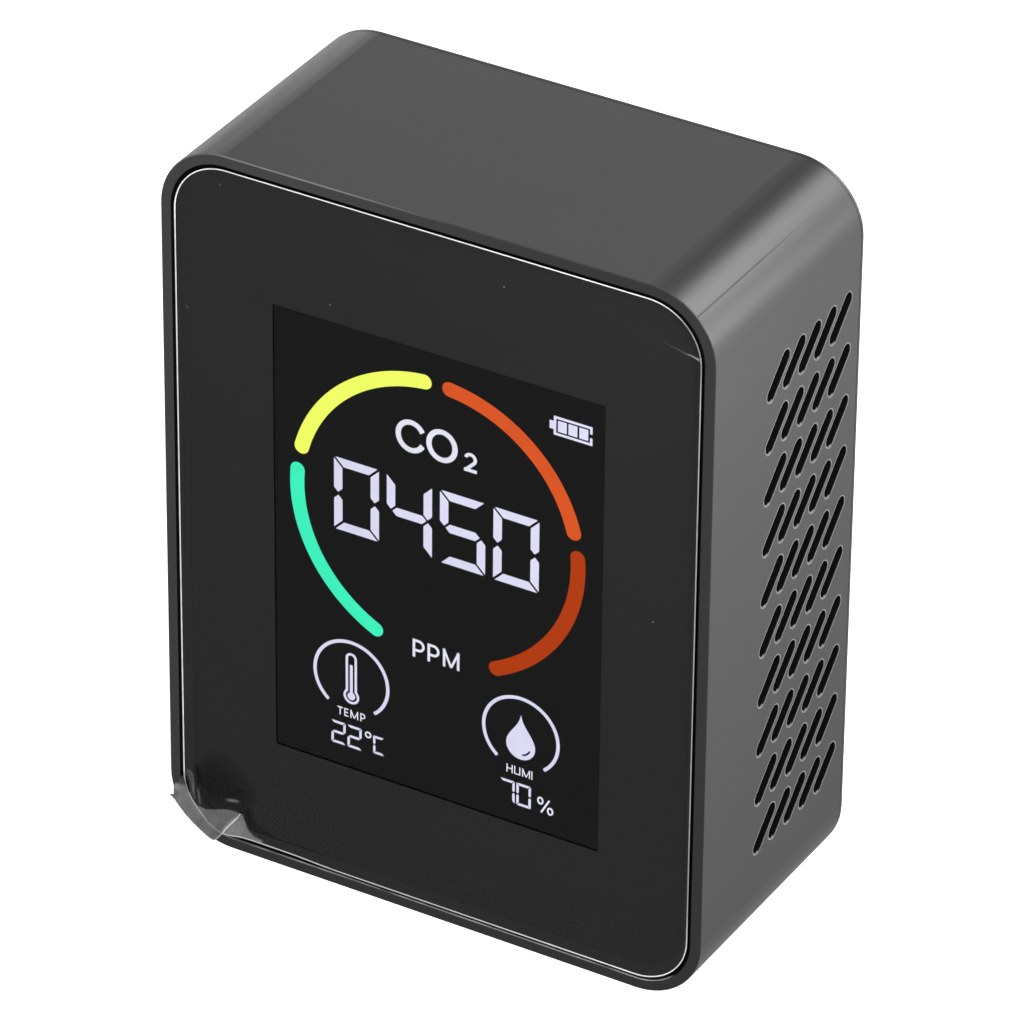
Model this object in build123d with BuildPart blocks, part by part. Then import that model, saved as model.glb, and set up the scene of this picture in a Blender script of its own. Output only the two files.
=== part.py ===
"""Desk-top carbon dioxide monitor: an upright housing with a flat display in front.

Frame: millimetres, +Z up, the display faces -Y, the origin is under the middle of the housing.
"""
from build123d import *
from math import cos, radians, sin, tan
import os

# ---- driving dimensions ------------------------------------------------------------------
WIDTH = 68.0
HEIGHT = 89.0
DEPTH = 32.5
CORNER = 8.0                    # outer corner radius, seen from the front
EDGE_R = 0.12                   # break of the outer front and rear edges
WALL = 2.0
FIT = 0.03                      # radial clearance of a screw in its hole
MID_Z = HEIGHT / 2

# depths along Y, from the front to the rear
FRONT = -DEPTH / 2
REAR = DEPTH / 2
FILM_THICK = 0.08
LENS_THICK = 0.8
INK_THICK = 0.05
TAPE_THICK = 0.2
LENS_FRONT = FRONT + FILM_THICK
INK_FRONT = LENS_FRONT + LENS_THICK
TAPE_FRONT = INK_FRONT + INK_THICK
LEDGE_FRONT = TAPE_FRONT + TAPE_THICK
LEDGE_REAR = LEDGE_FRONT + 1.6
LID_THICK = 0.5                 # visible edge of the rear cover
LID_FRONT = REAR - LID_THICK
LID_GAP = 0.12                  # open seam in front of that edge
LID_INSET = 0.02                # the rear cover is this much smaller all round
SPIGOT_GAP = 0.15               # between its spigot and the housing's wall
COVER_INNER = REAR - WALL

# front window
RIM = 1.5                       # flat rim round the lens recess
LENS_INSET = 1.78
LENS_CORNER = 6.5
LENS_EDGE = 0.1                 # chamfer of the lens and of its recess
INK_INSET = 0.1
TAPE_INSET = 0.25
TAPE_BORDER = 3.25
WINDOW_W = 41.1
WINDOW_H = 56.6
WINDOW_Z = 43.8                 # height of the window's centre

# vent slots in the side walls
VENT_COLUMNS = 5
VENT_ROWS = 10
VENT_PITCH_Y = 3.46
VENT_PITCH_Z = 6.4
VENT_Y = 4.6
VENT_LENGTH = 5.9
VENT_WIDTH = 1.6
VENT_TILT = 45.0
VENT_BEVEL = 0.12

# display module
PANEL_FRONT = TAPE_FRONT + 0.1
MODULE_W = 49.6
MODULE_H = 69.2
MODULE_Z = 40.5
PANEL_W = 46.8
PANEL_H = 66.4
PANEL_THICK = 1.2
GUIDE_THICK = 1.1
TRAY_FLOOR = 0.4
TRAY_PROUD = 0.17               # glass stands this much in front of its tray
TRAY_FRONT = PANEL_FRONT + TRAY_PROUD
GUIDE_FRONT = PANEL_FRONT + PANEL_THICK
TRAY_REAR = GUIDE_FRONT + GUIDE_THICK + TRAY_FLOOR
RETAINER_FRONT = TRAY_REAR + 0.05
RETAINER_THICK = 1.2
RETAINER_REAR = RETAINER_FRONT + RETAINER_THICK
RETAINER_SCREW_X = 28.2
RETAINER_SCREW_Z = (16.0, 68.0)
RETAINER_SCREW_R = 0.85
RETAINER_POST_R = 2.3
RETAINER_W = 61.0
RETAINER_H = 62.0
RETAINER_OPEN_W = 38.0
RETAINER_OPEN_H = 50.0
RETAINER_Z = 42.0

# what the display shows, measured from the centre of its ring gauge
LIT_THICK = 0.05
GAUGE_X = -0.1
GAUGE_Z = 50.65
GAUGE_R = 17.55
GAUGE_STROKE = 1.78

# case screws
CASE_SCREW_X = 28.4
CASE_SCREW_Z = (5.9, HEIGHT - 5.9)
CASE_SCREW_R = 1.3
CASE_HEAD_R = 2.2
POST_R = 3.2                    # screw posts of the housing
POST_BORE_FRONT = 4.0
PAD_R = 2.6                     # screw pads of the rear cover, clear of the housing's corners
PAD_THICK = 2.0
PAD_GAP = 0.05

# main board, on posts of the rear cover
BOARD_THICK = 1.6
BOARD_W = 59.0
BOARD_LOW = 10.0
BOARD_HIGH = 79.0
BOARD_REAR = 9.55
BOARD_FRONT = BOARD_REAR - BOARD_THICK
BOARD_SCREW_X = 25.5
BOARD_SCREW_Z = (14.0, 75.0)
BOARD_SCREW_R = 1.0
BOARD_POST_R = 2.5

# charging socket and power button, both reached from the rear
USB_X = 0.0
USB_Z = 17.0
BUTTON_X = 0.0
BUTTON_Z = 66.0
BUTTON_R = 4.0
BUTTON_PROUD = 0.1
BUTTON_GAP = 0.08

os.makedirs("parts", exist_ok=True)


def facing_front(y, x=0.0, z=MID_Z):
    """Plane at depth y that looks out of the front; its own origin is at x, z."""
    return Plane(origin=(x, y, z), x_dir=(1, 0, 0), z_dir=(0, -1, 0))


def finish_piece(builder, name):
    """Label a finished piece and write it to its own file."""
    builder.part.label = name
    export_step(builder.part, f"parts/{name}.step")


def plate(y_front, y_rear, width, height, radius, x=0.0, z=MID_Z, mode=Mode.ADD):
    """A rounded rectangular slab, or with SUBTRACT a pocket, between two depths."""
    with BuildSketch(facing_front(y_rear, x, z)) as outline:
        RectangleRounded(width, height, radius)
    extrude(outline.sketch, amount=y_rear - y_front, mode=mode)


def block(y_front, y_rear, width, height, x, z, mode=Mode.ADD):
    """A square-cornered slab between two depths."""
    with BuildSketch(facing_front(y_rear, x, z)) as outline:
        Rectangle(width, height)
    extrude(outline.sketch, amount=y_rear - y_front, mode=mode)


def round_bar(y_front, y_rear, radius, x, z, mode=Mode.ADD):
    """A cylinder along Y, or with SUBTRACT a round hole."""
    with BuildSketch(facing_front(y_rear, x, z)) as outline:
        Circle(radius)
    extrude(outline.sketch, amount=y_rear - y_front, mode=mode)


def screw(x, z, seat, shank_r, length, head_r, head_h, head_side):
    """A pan-head cross-recess screw. head_side is +1 with the head on the rear side of its seat."""
    tip = seat - head_side * length
    crown = seat + head_side * head_h
    recess = crown - head_side * head_h * 0.6
    round_bar(min(seat, tip), max(seat, tip), shank_r, x, z)
    round_bar(min(seat, crown), max(seat, crown), head_r, x, z)
    for slot_w, slot_h in ((head_r * 1.2, head_r * 0.28), (head_r * 0.28, head_r * 1.2)):
        block(min(recess, crown), max(recess, crown), slot_w, slot_h, x, z, Mode.SUBTRACT)


def corners(x_half, z_values):
    """The four places left and right at two heights."""
    return [(side * x_half, z) for side in (-1, 1) for z in z_values]


def within(edge, x_half, z_half):
    """Whether an edge stays inside a frame of these half sizes round the middle of the front."""
    return all(abs(corner.X) < x_half + 0.01 and abs(corner.Z - MID_Z) < z_half + 0.01
               for corner in edge.vertices())


# ---- housing: one deep shell, open to the rear, with the lens recess in front --------------
with BuildPart() as housing:
    plate(FRONT, LID_FRONT - LID_GAP, WIDTH, HEIGHT, CORNER)
    front_edges = housing.edges().group_by(Axis.Y)[0]
    fillet(front_edges, radius=EDGE_R)
    plate(LEDGE_REAR, REAR, WIDTH - 2 * WALL, HEIGHT - 2 * WALL, CORNER - WALL, mode=Mode.SUBTRACT)
    plate(FRONT, LEDGE_FRONT, WIDTH - 2 * RIM, HEIGHT - 2 * RIM, LENS_CORNER + LENS_INSET - RIM,
          mode=Mode.SUBTRACT)
    recess_edges = [edge for edge in housing.edges().group_by(Axis.Y)[0]
                    if within(edge, WIDTH / 2 - RIM, HEIGHT / 2 - RIM)]
    chamfer(recess_edges, length=LENS_EDGE)
    plate(LEDGE_FRONT, LEDGE_REAR, MODULE_W + 0.6, MODULE_H + 1.0, 0.8, z=MODULE_Z,
          mode=Mode.SUBTRACT)
    for screw_x, screw_z in corners(CASE_SCREW_X, CASE_SCREW_Z):
        round_bar(LEDGE_REAR, COVER_INNER - PAD_THICK - PAD_GAP, POST_R, screw_x, screw_z)
    for screw_x, screw_z in corners(RETAINER_SCREW_X, RETAINER_SCREW_Z):
        round_bar(LEDGE_REAR, RETAINER_FRONT, RETAINER_POST_R, screw_x, screw_z)
    for screw_x, screw_z in corners(CASE_SCREW_X, CASE_SCREW_Z):
        round_bar(POST_BORE_FRONT, COVER_INNER, CASE_SCREW_R + FIT, screw_x, screw_z, Mode.SUBTRACT)
    for screw_x, screw_z in corners(RETAINER_SCREW_X, RETAINER_SCREW_Z):
        round_bar(LEDGE_FRONT + 0.5, RETAINER_FRONT, RETAINER_SCREW_R + FIT, screw_x, screw_z,
                  Mode.SUBTRACT)
    with BuildSketch(Plane(origin=(WIDTH / 2, VENT_Y, MID_Z), x_dir=(0, 1, 0), z_dir=(1, 0, 0))):
        with GridLocations(VENT_PITCH_Y, VENT_PITCH_Z, VENT_COLUMNS, VENT_ROWS):
            SlotOverall(VENT_LENGTH, VENT_WIDTH, rotation=VENT_TILT)
    extrude(amount=-WIDTH, mode=Mode.SUBTRACT)
    slot_rims = [edge for edge in housing.edges()
                 if abs(abs(edge.center().X) - WIDTH / 2) < 0.01
                 and edge.length < VENT_LENGTH
                 and abs(edge.center().Y - VENT_Y) < VENT_COLUMNS * VENT_PITCH_Y]
    chamfer(slot_rims, length=VENT_BEVEL)
finish_piece(housing, "housing")

# ---- rear cover: a lid whose thin edge shows behind the housing ------------------------------
USB_MOUTH = REAR - 0.9
GUIDE_IN = BUTTON_R + 1.1       # inner radius of the collar round the button's flange
GUIDE_DEEP = 1.2
COUNTERBORE_R = 2.5
with BuildPart() as rear_cover:
    plate(LID_FRONT, REAR, WIDTH - 2 * LID_INSET, HEIGHT - 2 * LID_INSET, CORNER - LID_INSET)
    rear_edges = rear_cover.edges().group_by(Axis.Y)[-1]
    fillet(rear_edges, radius=EDGE_R)
    plate(COVER_INNER, LID_FRONT, WIDTH - 2 * (WALL + SPIGOT_GAP), HEIGHT - 2 * (WALL + SPIGOT_GAP),
          CORNER - WALL - SPIGOT_GAP)
    for screw_x, screw_z in corners(CASE_SCREW_X, CASE_SCREW_Z):
        round_bar(COVER_INNER - PAD_THICK, COVER_INNER, PAD_R, screw_x, screw_z)
    for screw_x, screw_z in corners(BOARD_SCREW_X, BOARD_SCREW_Z):
        round_bar(BOARD_REAR, COVER_INNER, BOARD_POST_R, screw_x, screw_z)
    round_bar(COVER_INNER - GUIDE_DEEP, COVER_INNER, GUIDE_IN + 1.0, BUTTON_X, BUTTON_Z)
    round_bar(COVER_INNER - GUIDE_DEEP, COVER_INNER, GUIDE_IN, BUTTON_X, BUTTON_Z, Mode.SUBTRACT)
    round_bar(COVER_INNER, REAR, BUTTON_R + BUTTON_GAP, BUTTON_X, BUTTON_Z, Mode.SUBTRACT)
    for screw_x, screw_z in corners(CASE_SCREW_X, CASE_SCREW_Z):
        round_bar(COVER_INNER - PAD_THICK, REAR, CASE_SCREW_R + 0.2, screw_x, screw_z, Mode.SUBTRACT)
        round_bar(COVER_INNER, REAR, COUNTERBORE_R, screw_x, screw_z, Mode.SUBTRACT)
    for screw_x, screw_z in corners(BOARD_SCREW_X, BOARD_SCREW_Z):
        round_bar(BOARD_REAR, COVER_INNER - 0.4, BOARD_SCREW_R + FIT, screw_x, screw_z, Mode.SUBTRACT)
    with BuildSketch(Plane(origin=(USB_X, REAR, USB_Z), x_dir=(1, 0, 0), z_dir=(0, -1, 0))):
        SlotOverall(9.5, 3.8)
    extrude(amount=WALL, mode=Mode.SUBTRACT)
    with BuildSketch(Plane(origin=(USB_X, REAR, USB_Z), x_dir=(1, 0, 0), z_dir=(0, -1, 0))):
        SlotOverall(12.6, 6.8)
    extrude(amount=REAR - USB_MOUTH, mode=Mode.SUBTRACT)
finish_piece(rear_cover, "rear_cover")

with BuildPart() as case_screws:
    for screw_x, screw_z in corners(CASE_SCREW_X, CASE_SCREW_Z):
        screw(screw_x, screw_z, COVER_INNER, CASE_SCREW_R, 9.0, CASE_HEAD_R, 1.6, 1)
finish_piece(case_screws, "case_screws")

# ---- lens, its printed border, its tape, and the protective film ------------------------------
LENS_W = WIDTH - 2 * LENS_INSET
LENS_H = HEIGHT - 2 * LENS_INSET
with BuildPart() as front_lens:
    plate(LENS_FRONT, INK_FRONT, LENS_W - 0.06, LENS_H - 0.06, LENS_CORNER)
    chamfer(front_lens.edges().group_by(Axis.Y)[0], length=LENS_EDGE)
finish_piece(front_lens, "front_lens")

with BuildPart() as lens_mask:
    plate(INK_FRONT, TAPE_FRONT, LENS_W - 2 * INK_INSET, LENS_H - 2 * INK_INSET,
          LENS_CORNER - INK_INSET)
    plate(INK_FRONT, TAPE_FRONT, WINDOW_W, WINDOW_H, 0.25, z=WINDOW_Z, mode=Mode.SUBTRACT)
finish_piece(lens_mask, "lens_mask")

with BuildPart() as lens_adhesive:
    plate(TAPE_FRONT, LEDGE_FRONT, LENS_W - 2 * TAPE_INSET, LENS_H - 2 * TAPE_INSET,
          LENS_CORNER - TAPE_INSET)
    plate(TAPE_FRONT, LEDGE_FRONT, LENS_W - 2 * (TAPE_INSET + TAPE_BORDER),
          LENS_H - 2 * (TAPE_INSET + TAPE_BORDER), 2.5, mode=Mode.SUBTRACT)
finish_piece(lens_adhesive, "lens_adhesive")

with BuildPart() as screen_film:
    plate(FRONT, LENS_FRONT, LENS_W, LENS_H, LENS_CORNER)
finish_piece(screen_film, "screen_film")

# The tab is a strip of tape on the film, laid across the lower left corner of the rim.
TAB_THICK = 0.1
with BuildPart() as film_pull_tab:
    with BuildSketch(facing_front(FRONT, 0.0, 0.0)):
        Polygon((-33.7, 5.9), (-30.1, 4.1), (-24.8, 4.9), (-28.1, 0.2), (-28.9, 0.2))
    extrude(amount=TAB_THICK)
finish_piece(film_pull_tab, "film_pull_tab")


# ---- what the display shows: thin lit segments on the panel ------------------------------------
SEGMENTS = {"0": "abcdef", "2": "abged", "4": "fgbc", "5": "afgcd", "7": "abc", "C": "afed"}


def stroke(points, width):
    """A mitred line of even width through the points."""
    with BuildLine() as path:
        Polyline(*points)
    trace(path.line, line_width=width)


def ring(x, z, radius, start, sweep_angle, width):
    """A flat-ended arc of even width, by its outer radius."""
    with BuildLine() as path:
        CenterArc((x, z), radius - width / 2, start, sweep_angle)
    trace(path.line, line_width=width)


def numeral(character, x, z, width, height, bar, gap):
    """One seven-segment character centred at x, z."""
    side = width / 2
    top = height / 2
    half = bar / 2
    shapes = {
        "a": [(-side + gap, top), (side - gap, top), (side - bar - gap, top - bar),
              (-side + bar + gap, top - bar)],
        "b": [(side, top - gap), (side, half + gap), (side - half, gap),
              (side - bar, half + gap), (side - bar, top - bar - gap)],
        "g": [(-side + half + gap, 0), (-side + bar + gap, half), (side - bar - gap, half),
              (side - half - gap, 0), (side - bar - gap, -half), (-side + bar + gap, -half)],
    }
    shapes["f"] = [(-u, v) for u, v in shapes["b"]]
    shapes["c"] = [(u, -v) for u, v in shapes["b"]]
    shapes["e"] = [(-u, -v) for u, v in shapes["b"]]
    shapes["d"] = [(u, -v) for u, v in shapes["a"]]
    for letter in SEGMENTS[character]:
        Polygon([(x + u, z + v) for u, v in shapes[letter]])


def letter_p(x, z, width, height, pen):
    """A capital P with its lower left corner at x, z."""
    half = pen / 2
    bowl = height * 0.27
    right = x + width - half
    middle = z + height - half - 2 * bowl
    stroke([(x + half, z), (x + half, z + height)], pen)
    stroke([(x, z + height - half), (right - bowl, z + height - half)], pen)
    stroke([(x, middle), (right - bowl, middle)], pen)
    with BuildLine() as curve:
        CenterArc((right - bowl, middle + bowl), bowl, -90, 180)
    trace(curve.line, line_width=pen)


def letter_m(x, z, width, height, pen):
    """A capital M with its lower left corner at x, z."""
    half = pen / 2
    for post_x in (x + half, x + width - half):
        stroke([(post_x, z), (post_x, z + height)], pen)
    valley = (x + width / 2, z + pen * 0.4)
    for post_x in (x + half, x + width - half):
        stroke([(post_x, z + height - half), valley], pen * 0.9)


def letter_two(x, z, width, height, pen):
    """A numeral 2 with round shoulders, lower left corner at x, z."""
    radius = (width - pen) / 2
    centre = (x + width / 2, z + height - pen / 2 - radius)
    with BuildLine() as curve:
        CenterArc(centre, radius, -35, 200)
    trace(curve.line, line_width=pen)
    shoulder = (centre[0] + radius * cos(radians(-35)), centre[1] + radius * sin(radians(-35)))
    stroke([(shoulder[0] + 0.02, shoulder[1] + 0.02), (x + pen * 0.6, z + pen / 2)], pen)
    stroke([(x, z + pen / 2), (x + width, z + pen / 2)], pen)


def on_panel():
    """Plane of the panel's glass with its origin at the centre of the ring gauge."""
    return facing_front(PANEL_FRONT, GAUGE_X, GAUGE_Z)


GAUGE_ARCS = {
    "gauge_orange": (14.9, 84.9),
    "gauge_yellow": (95.1, 164.9),
    "gauge_green": (175.1, 244.4),
    "gauge_red": (-64.4, 4.9),
}
for arc_name, (arc_start, arc_end) in GAUGE_ARCS.items():
    with BuildPart() as gauge_arc:
        with BuildSketch(on_panel()):
            with BuildLine(mode=Mode.PRIVATE) as arc_middle:
                CenterArc((0, 0), GAUGE_R, arc_start, arc_end - arc_start)
            SlotArc(arc_middle.edge(), GAUGE_STROKE)
        extrude(amount=LIT_THICK)
    finish_piece(gauge_arc, arc_name)

DIGIT_PITCH = 6.65
with BuildPart() as lit_numerals:
    with BuildSketch(on_panel()):
        for place, character in enumerate("0450"):
            numeral(character, (place - 1.5) * DIGIT_PITCH - 0.06, 0.08, 5.64, 9.12, 1.03, 0.2)
        for small_x, small_z, character in ((-12.42, -30.98, "2"), (-10.35, -30.98, "2"),
                                            (9.15, -31.18, "7"), (11.19, -31.18, "0")):
            numeral(character, small_x, small_z, 1.82, 2.9, 0.29, 0.07)
        numeral("C", -7.26, -31.0, 1.38, 2.32, 0.27, 0.05)
    extrude(amount=LIT_THICK)
finish_piece(lit_numerals, "lit_numerals")

TEMP_Z = -28.52
HUMI_Z = -28.7
LABEL_PEN = 0.12
with BuildPart() as lit_labels:
    with BuildSketch(on_panel()):
        # the gas formula above the reading
        with Locations((-3.54 + 0.35, 10.17)):
            Ellipse(1.92, 2.03)
            Ellipse(1.29, 1.43, mode=Mode.SUBTRACT)
        Polygon((-2.9, 10.17), (-1.0, 11.55), (-1.0, 8.79), mode=Mode.SUBTRACT)
        with Locations((0.65, 10.17)):
            Ellipse(1.94, 2.03)
            Ellipse(1.3, 1.43, mode=Mode.SUBTRACT)
        letter_two(3.4, 8.03, 1.57, 2.37, 0.38)
        # the unit below it
        letter_p(-2.92, -17.74, 1.5, 2.28, 0.3)
        letter_p(-1.04, -17.74, 1.5, 2.28, 0.3)
        letter_m(0.9, -17.74, 2.07, 2.28, 0.3)
        # the names of the two small readings
        stroke([(-12.55, TEMP_Z + 0.97), (-11.85, TEMP_Z + 0.97)], LABEL_PEN)
        stroke([(-12.2, TEMP_Z), (-12.2, TEMP_Z + 1.05)], LABEL_PEN)
        stroke([(-11.15, TEMP_Z + 0.08), (-11.6, TEMP_Z + 0.08), (-11.6, TEMP_Z + 0.97),
                (-11.15, TEMP_Z + 0.97)], LABEL_PEN)
        stroke([(-11.6, TEMP_Z + 0.53), (-11.2, TEMP_Z + 0.53)], LABEL_PEN)
        letter_m(-10.87, TEMP_Z, 0.98, 1.05, LABEL_PEN)
        letter_p(-9.6, TEMP_Z, 0.62, 1.05, LABEL_PEN)
        for bar_x in (9.07, 9.72, 12.2):
            stroke([(bar_x, HUMI_Z), (bar_x, HUMI_Z + 1.05)], LABEL_PEN)
        stroke([(9.07, HUMI_Z + 0.53), (9.72, HUMI_Z + 0.53)], LABEL_PEN)
        stroke([(10.04, HUMI_Z + 1.05), (10.04, HUMI_Z + 0.08), (10.68, HUMI_Z + 0.08),
                (10.68, HUMI_Z + 1.05)], LABEL_PEN)
        letter_m(10.98, HUMI_Z, 0.98, 1.05, LABEL_PEN)
        # the degree ring and the percent sign
        with Locations((-8.61, -30.02)):
            Circle(0.42)
            Circle(0.24, mode=Mode.SUBTRACT)
        with Locations((13.3, -31.07), (14.54, -32.1)):
            Ellipse(0.4, 0.5)
            Ellipse(0.2, 0.3, mode=Mode.SUBTRACT)
        stroke([(13.41, -32.55), (14.42, -30.72)], 0.22)
    extrude(amount=LIT_THICK)
finish_piece(lit_labels, "lit_labels")

RING_X = 10.75
RING_Z = -23.33
RING_R = 4.87
RING_STROKE = 0.4
DROP_R = 1.81
DROP_Z = -24.74
DROP_TIP_Z = -20.8
BULB_Z = -25.67
TUBE_Z = -23.0
CHARGE_X = 16.68
CHARGE_Z = 17.14
CHARGE_W = 4.69
with BuildPart() as lit_icons:
    with BuildSketch(on_panel()):
        for side in (-1, 1):
            ring(side * RING_X, RING_Z, RING_R, -51, 282, RING_STROKE)
        # thermometer: a hollow tube on a hollow bulb, with its liquid inside
        with Locations((-RING_X, BULB_Z)):
            Circle(1.0)
        with Locations((-RING_X, TUBE_Z)):
            SlotOverall(5.9, 1.42, rotation=90)
        with Locations((-RING_X, BULB_Z)):
            Circle(0.72, mode=Mode.SUBTRACT)
        with Locations((-RING_X, TUBE_Z)):
            SlotOverall(5.34, 0.86, rotation=90, mode=Mode.SUBTRACT)
        with Locations((-RING_X, BULB_Z)):
            Circle(0.48)
        with Locations((-RING_X, -23.65)):
            Rectangle(0.34, 4.1)
        # drop: a circle drawn up to a point, with a glint cut out of it
        with BuildLine():
            drop_left = CenterArc((RING_X, DROP_Z), DROP_R, 160, 220)
            Spline(drop_left @ 1, (RING_X + 0.72, DROP_Z + 2.25), (RING_X, DROP_TIP_Z),
                   tangents=[drop_left % 1, (-0.15, 1)])
            Spline((RING_X, DROP_TIP_Z), (RING_X - 0.72, DROP_Z + 2.25), drop_left @ 0,
                   tangents=[(-0.15, -1), drop_left % 0])
        make_face()
        with BuildLine(mode=Mode.PRIVATE) as glint:
            CenterArc((RING_X, DROP_Z), DROP_R * 0.66, -78, 56)
        SlotArc(glint.edge(), 0.22, mode=Mode.SUBTRACT)
        # battery gauge: outline, terminal and three bars
        with Locations((CHARGE_X, CHARGE_Z)):
            Rectangle(CHARGE_W, 2.3)
            Rectangle(CHARGE_W - 0.56, 1.74, mode=Mode.SUBTRACT)
        with Locations((CHARGE_X + 2.2, CHARGE_Z)):
            Rectangle(0.5, 0.5, mode=Mode.SUBTRACT)
        with Locations((CHARGE_X - CHARGE_W / 2 - 0.25, CHARGE_Z)):
            Rectangle(0.5, 0.98)
        for bar_x in (15.38, 16.66, 17.98):
            with Locations((bar_x, CHARGE_Z)):
                Rectangle(1.06, 1.32)
    extrude(amount=LIT_THICK)
finish_piece(lit_icons, "lit_icons")

# ---- display module: panel, light guide, tray, retainer -------------------------------------
with BuildPart() as lcd_glass:
    plate(PANEL_FRONT, GUIDE_FRONT, PANEL_W, PANEL_H, 0.3, z=MODULE_Z)
finish_piece(lcd_glass, "lcd_glass")

GUIDE_LIFT = 1.6                # the guide stops above the cable's bond
with BuildPart() as lcd_backlight:
    plate(GUIDE_FRONT, TRAY_REAR - TRAY_FLOOR, PANEL_W, PANEL_H - 2 * GUIDE_LIFT, 0.3,
          z=MODULE_Z + GUIDE_LIFT)
finish_piece(lcd_backlight, "lcd_backlight")

FLEX_W = 16.0
FLEX_THICK = 0.16
with BuildPart() as lcd_frame:
    plate(TRAY_FRONT, TRAY_REAR, MODULE_W, MODULE_H, 0.6, z=MODULE_Z)
    plate(TRAY_FRONT, TRAY_REAR - TRAY_FLOOR, PANEL_W + 0.2, PANEL_H + 0.2, 0.4, z=MODULE_Z,
          mode=Mode.SUBTRACT)
    block(TRAY_FRONT, TRAY_REAR, FLEX_W + 1.0, 2.6, 0.0, MODULE_Z - PANEL_H / 2 + 1.3,
          Mode.SUBTRACT)
finish_piece(lcd_frame, "lcd_frame")

with BuildPart() as lcd_retainer:
    plate(RETAINER_FRONT, RETAINER_REAR, RETAINER_W, RETAINER_H, 2.0, z=RETAINER_Z)
    plate(RETAINER_FRONT, RETAINER_REAR, RETAINER_OPEN_W, RETAINER_OPEN_H, 2.0, z=RETAINER_Z,
          mode=Mode.SUBTRACT)
    for screw_x, screw_z in corners(RETAINER_SCREW_X, RETAINER_SCREW_Z):
        round_bar(RETAINER_FRONT, RETAINER_REAR, RETAINER_SCREW_R + 0.15, screw_x, screw_z,
                  Mode.SUBTRACT)
finish_piece(lcd_retainer, "lcd_retainer")

with BuildPart() as retainer_screws:
    for screw_x, screw_z in corners(RETAINER_SCREW_X, RETAINER_SCREW_Z):
        screw(screw_x, screw_z, RETAINER_REAR, RETAINER_SCREW_R, 3.0, 1.5, 1.1, 1)
finish_piece(retainer_screws, "retainer_screws")

# The flat cable leaves the panel's rear, runs back under the retainer and up to the board.
FLEX_START_Z = MODULE_Z - PANEL_H / 2 + 3.0
FLEX_LOW_Z = MODULE_Z - PANEL_H / 2 + 0.6
FLEX_BOARD_Y = BOARD_FRONT - 0.9
FLEX_END_Z = 19.0
with BuildPart() as lcd_flex:
    with BuildSketch(Plane.YZ.offset(-FLEX_W / 2)):
        with BuildLine(mode=Mode.PRIVATE) as flex_route:
            FilletPolyline(
                (GUIDE_FRONT + FLEX_THICK / 2 + 0.02, FLEX_START_Z),
                (GUIDE_FRONT + FLEX_THICK / 2 + 0.02, FLEX_LOW_Z),
                (-1.0, FLEX_LOW_Z + 1.2),
                (FLEX_BOARD_Y, FLEX_LOW_Z + 0.4),
                (FLEX_BOARD_Y, FLEX_END_Z),
                radius=0.9,
            )
        trace(flex_route.line, line_width=FLEX_THICK)
    extrude(amount=FLEX_W)
finish_piece(lcd_flex, "lcd_flex")

# ---- main board and what is soldered to it ------------------------------------------------------
BOARD_MID = (BOARD_LOW + BOARD_HIGH) / 2
SENSOR_X = 16.0
SENSOR_Z = 48.0
SENSOR_W = 20.0
SENSOR_H = 33.0
SENSOR_GAP = 2.5                # between the sensor's board and the main board
SENSOR_BOARD_THICK = 1.0
SENSOR_BOARD_REAR = BOARD_FRONT - SENSOR_GAP
SENSOR_BOARD_FRONT = SENSOR_BOARD_REAR - SENSOR_BOARD_THICK
PIN_PITCH = 2.54
PIN_W = 0.64
PIN_HOLE_R = 0.5
PIN_ROWS = ((SENSOR_Z + SENSOR_H / 2 - 1.6, 5), (SENSOR_Z - SENSOR_H / 2 + 1.6, 4))
PIN_PLACES = [(SENSOR_X + (index - (count - 1) / 2) * PIN_PITCH, row_z)
              for row_z, count in PIN_ROWS for index in range(count)]
with BuildPart() as main_board:
    plate(BOARD_FRONT, BOARD_REAR, BOARD_W, BOARD_HIGH - BOARD_LOW, 2.0, z=BOARD_MID)
    for screw_x, screw_z in corners(BOARD_SCREW_X, BOARD_SCREW_Z):
        round_bar(BOARD_FRONT, BOARD_REAR, BOARD_SCREW_R + 0.15, screw_x, screw_z, Mode.SUBTRACT)
    for pin_x, pin_z in PIN_PLACES:
        round_bar(BOARD_FRONT, BOARD_REAR, PIN_HOLE_R, pin_x, pin_z, Mode.SUBTRACT)
finish_piece(main_board, "main_board")

with BuildPart() as board_screws:
    for screw_x, screw_z in corners(BOARD_SCREW_X, BOARD_SCREW_Z):
        screw(screw_x, screw_z, BOARD_FRONT, BOARD_SCREW_R, 5.0, 1.9, 1.3, -1)
finish_piece(board_screws, "board_screws")

CHIP_X = -18.0
CHIP_Z = 16.5
CHIP_W = 7.0
CHIP_PITCH = 0.56
LEG_OUT = 4.0                   # middle of a leg's length, from the chip's centre
LEG_W = 0.24
with BuildPart() as controller_chip:
    plate(BOARD_FRONT - 1.2, BOARD_FRONT - 0.1, CHIP_W, CHIP_W, 0.3, x=CHIP_X, z=CHIP_Z)
    for step in range(-5, 6):
        for side in (-1, 1):
            block(BOARD_FRONT - 0.6, BOARD_FRONT, LEG_W, 1.0, CHIP_X + CHIP_PITCH * step,
                  CHIP_Z + side * LEG_OUT)
            block(BOARD_FRONT - 0.6, BOARD_FRONT, 1.0, LEG_W, CHIP_X + side * LEG_OUT,
                  CHIP_Z + CHIP_PITCH * step)
finish_piece(controller_chip, "controller_chip")

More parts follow.
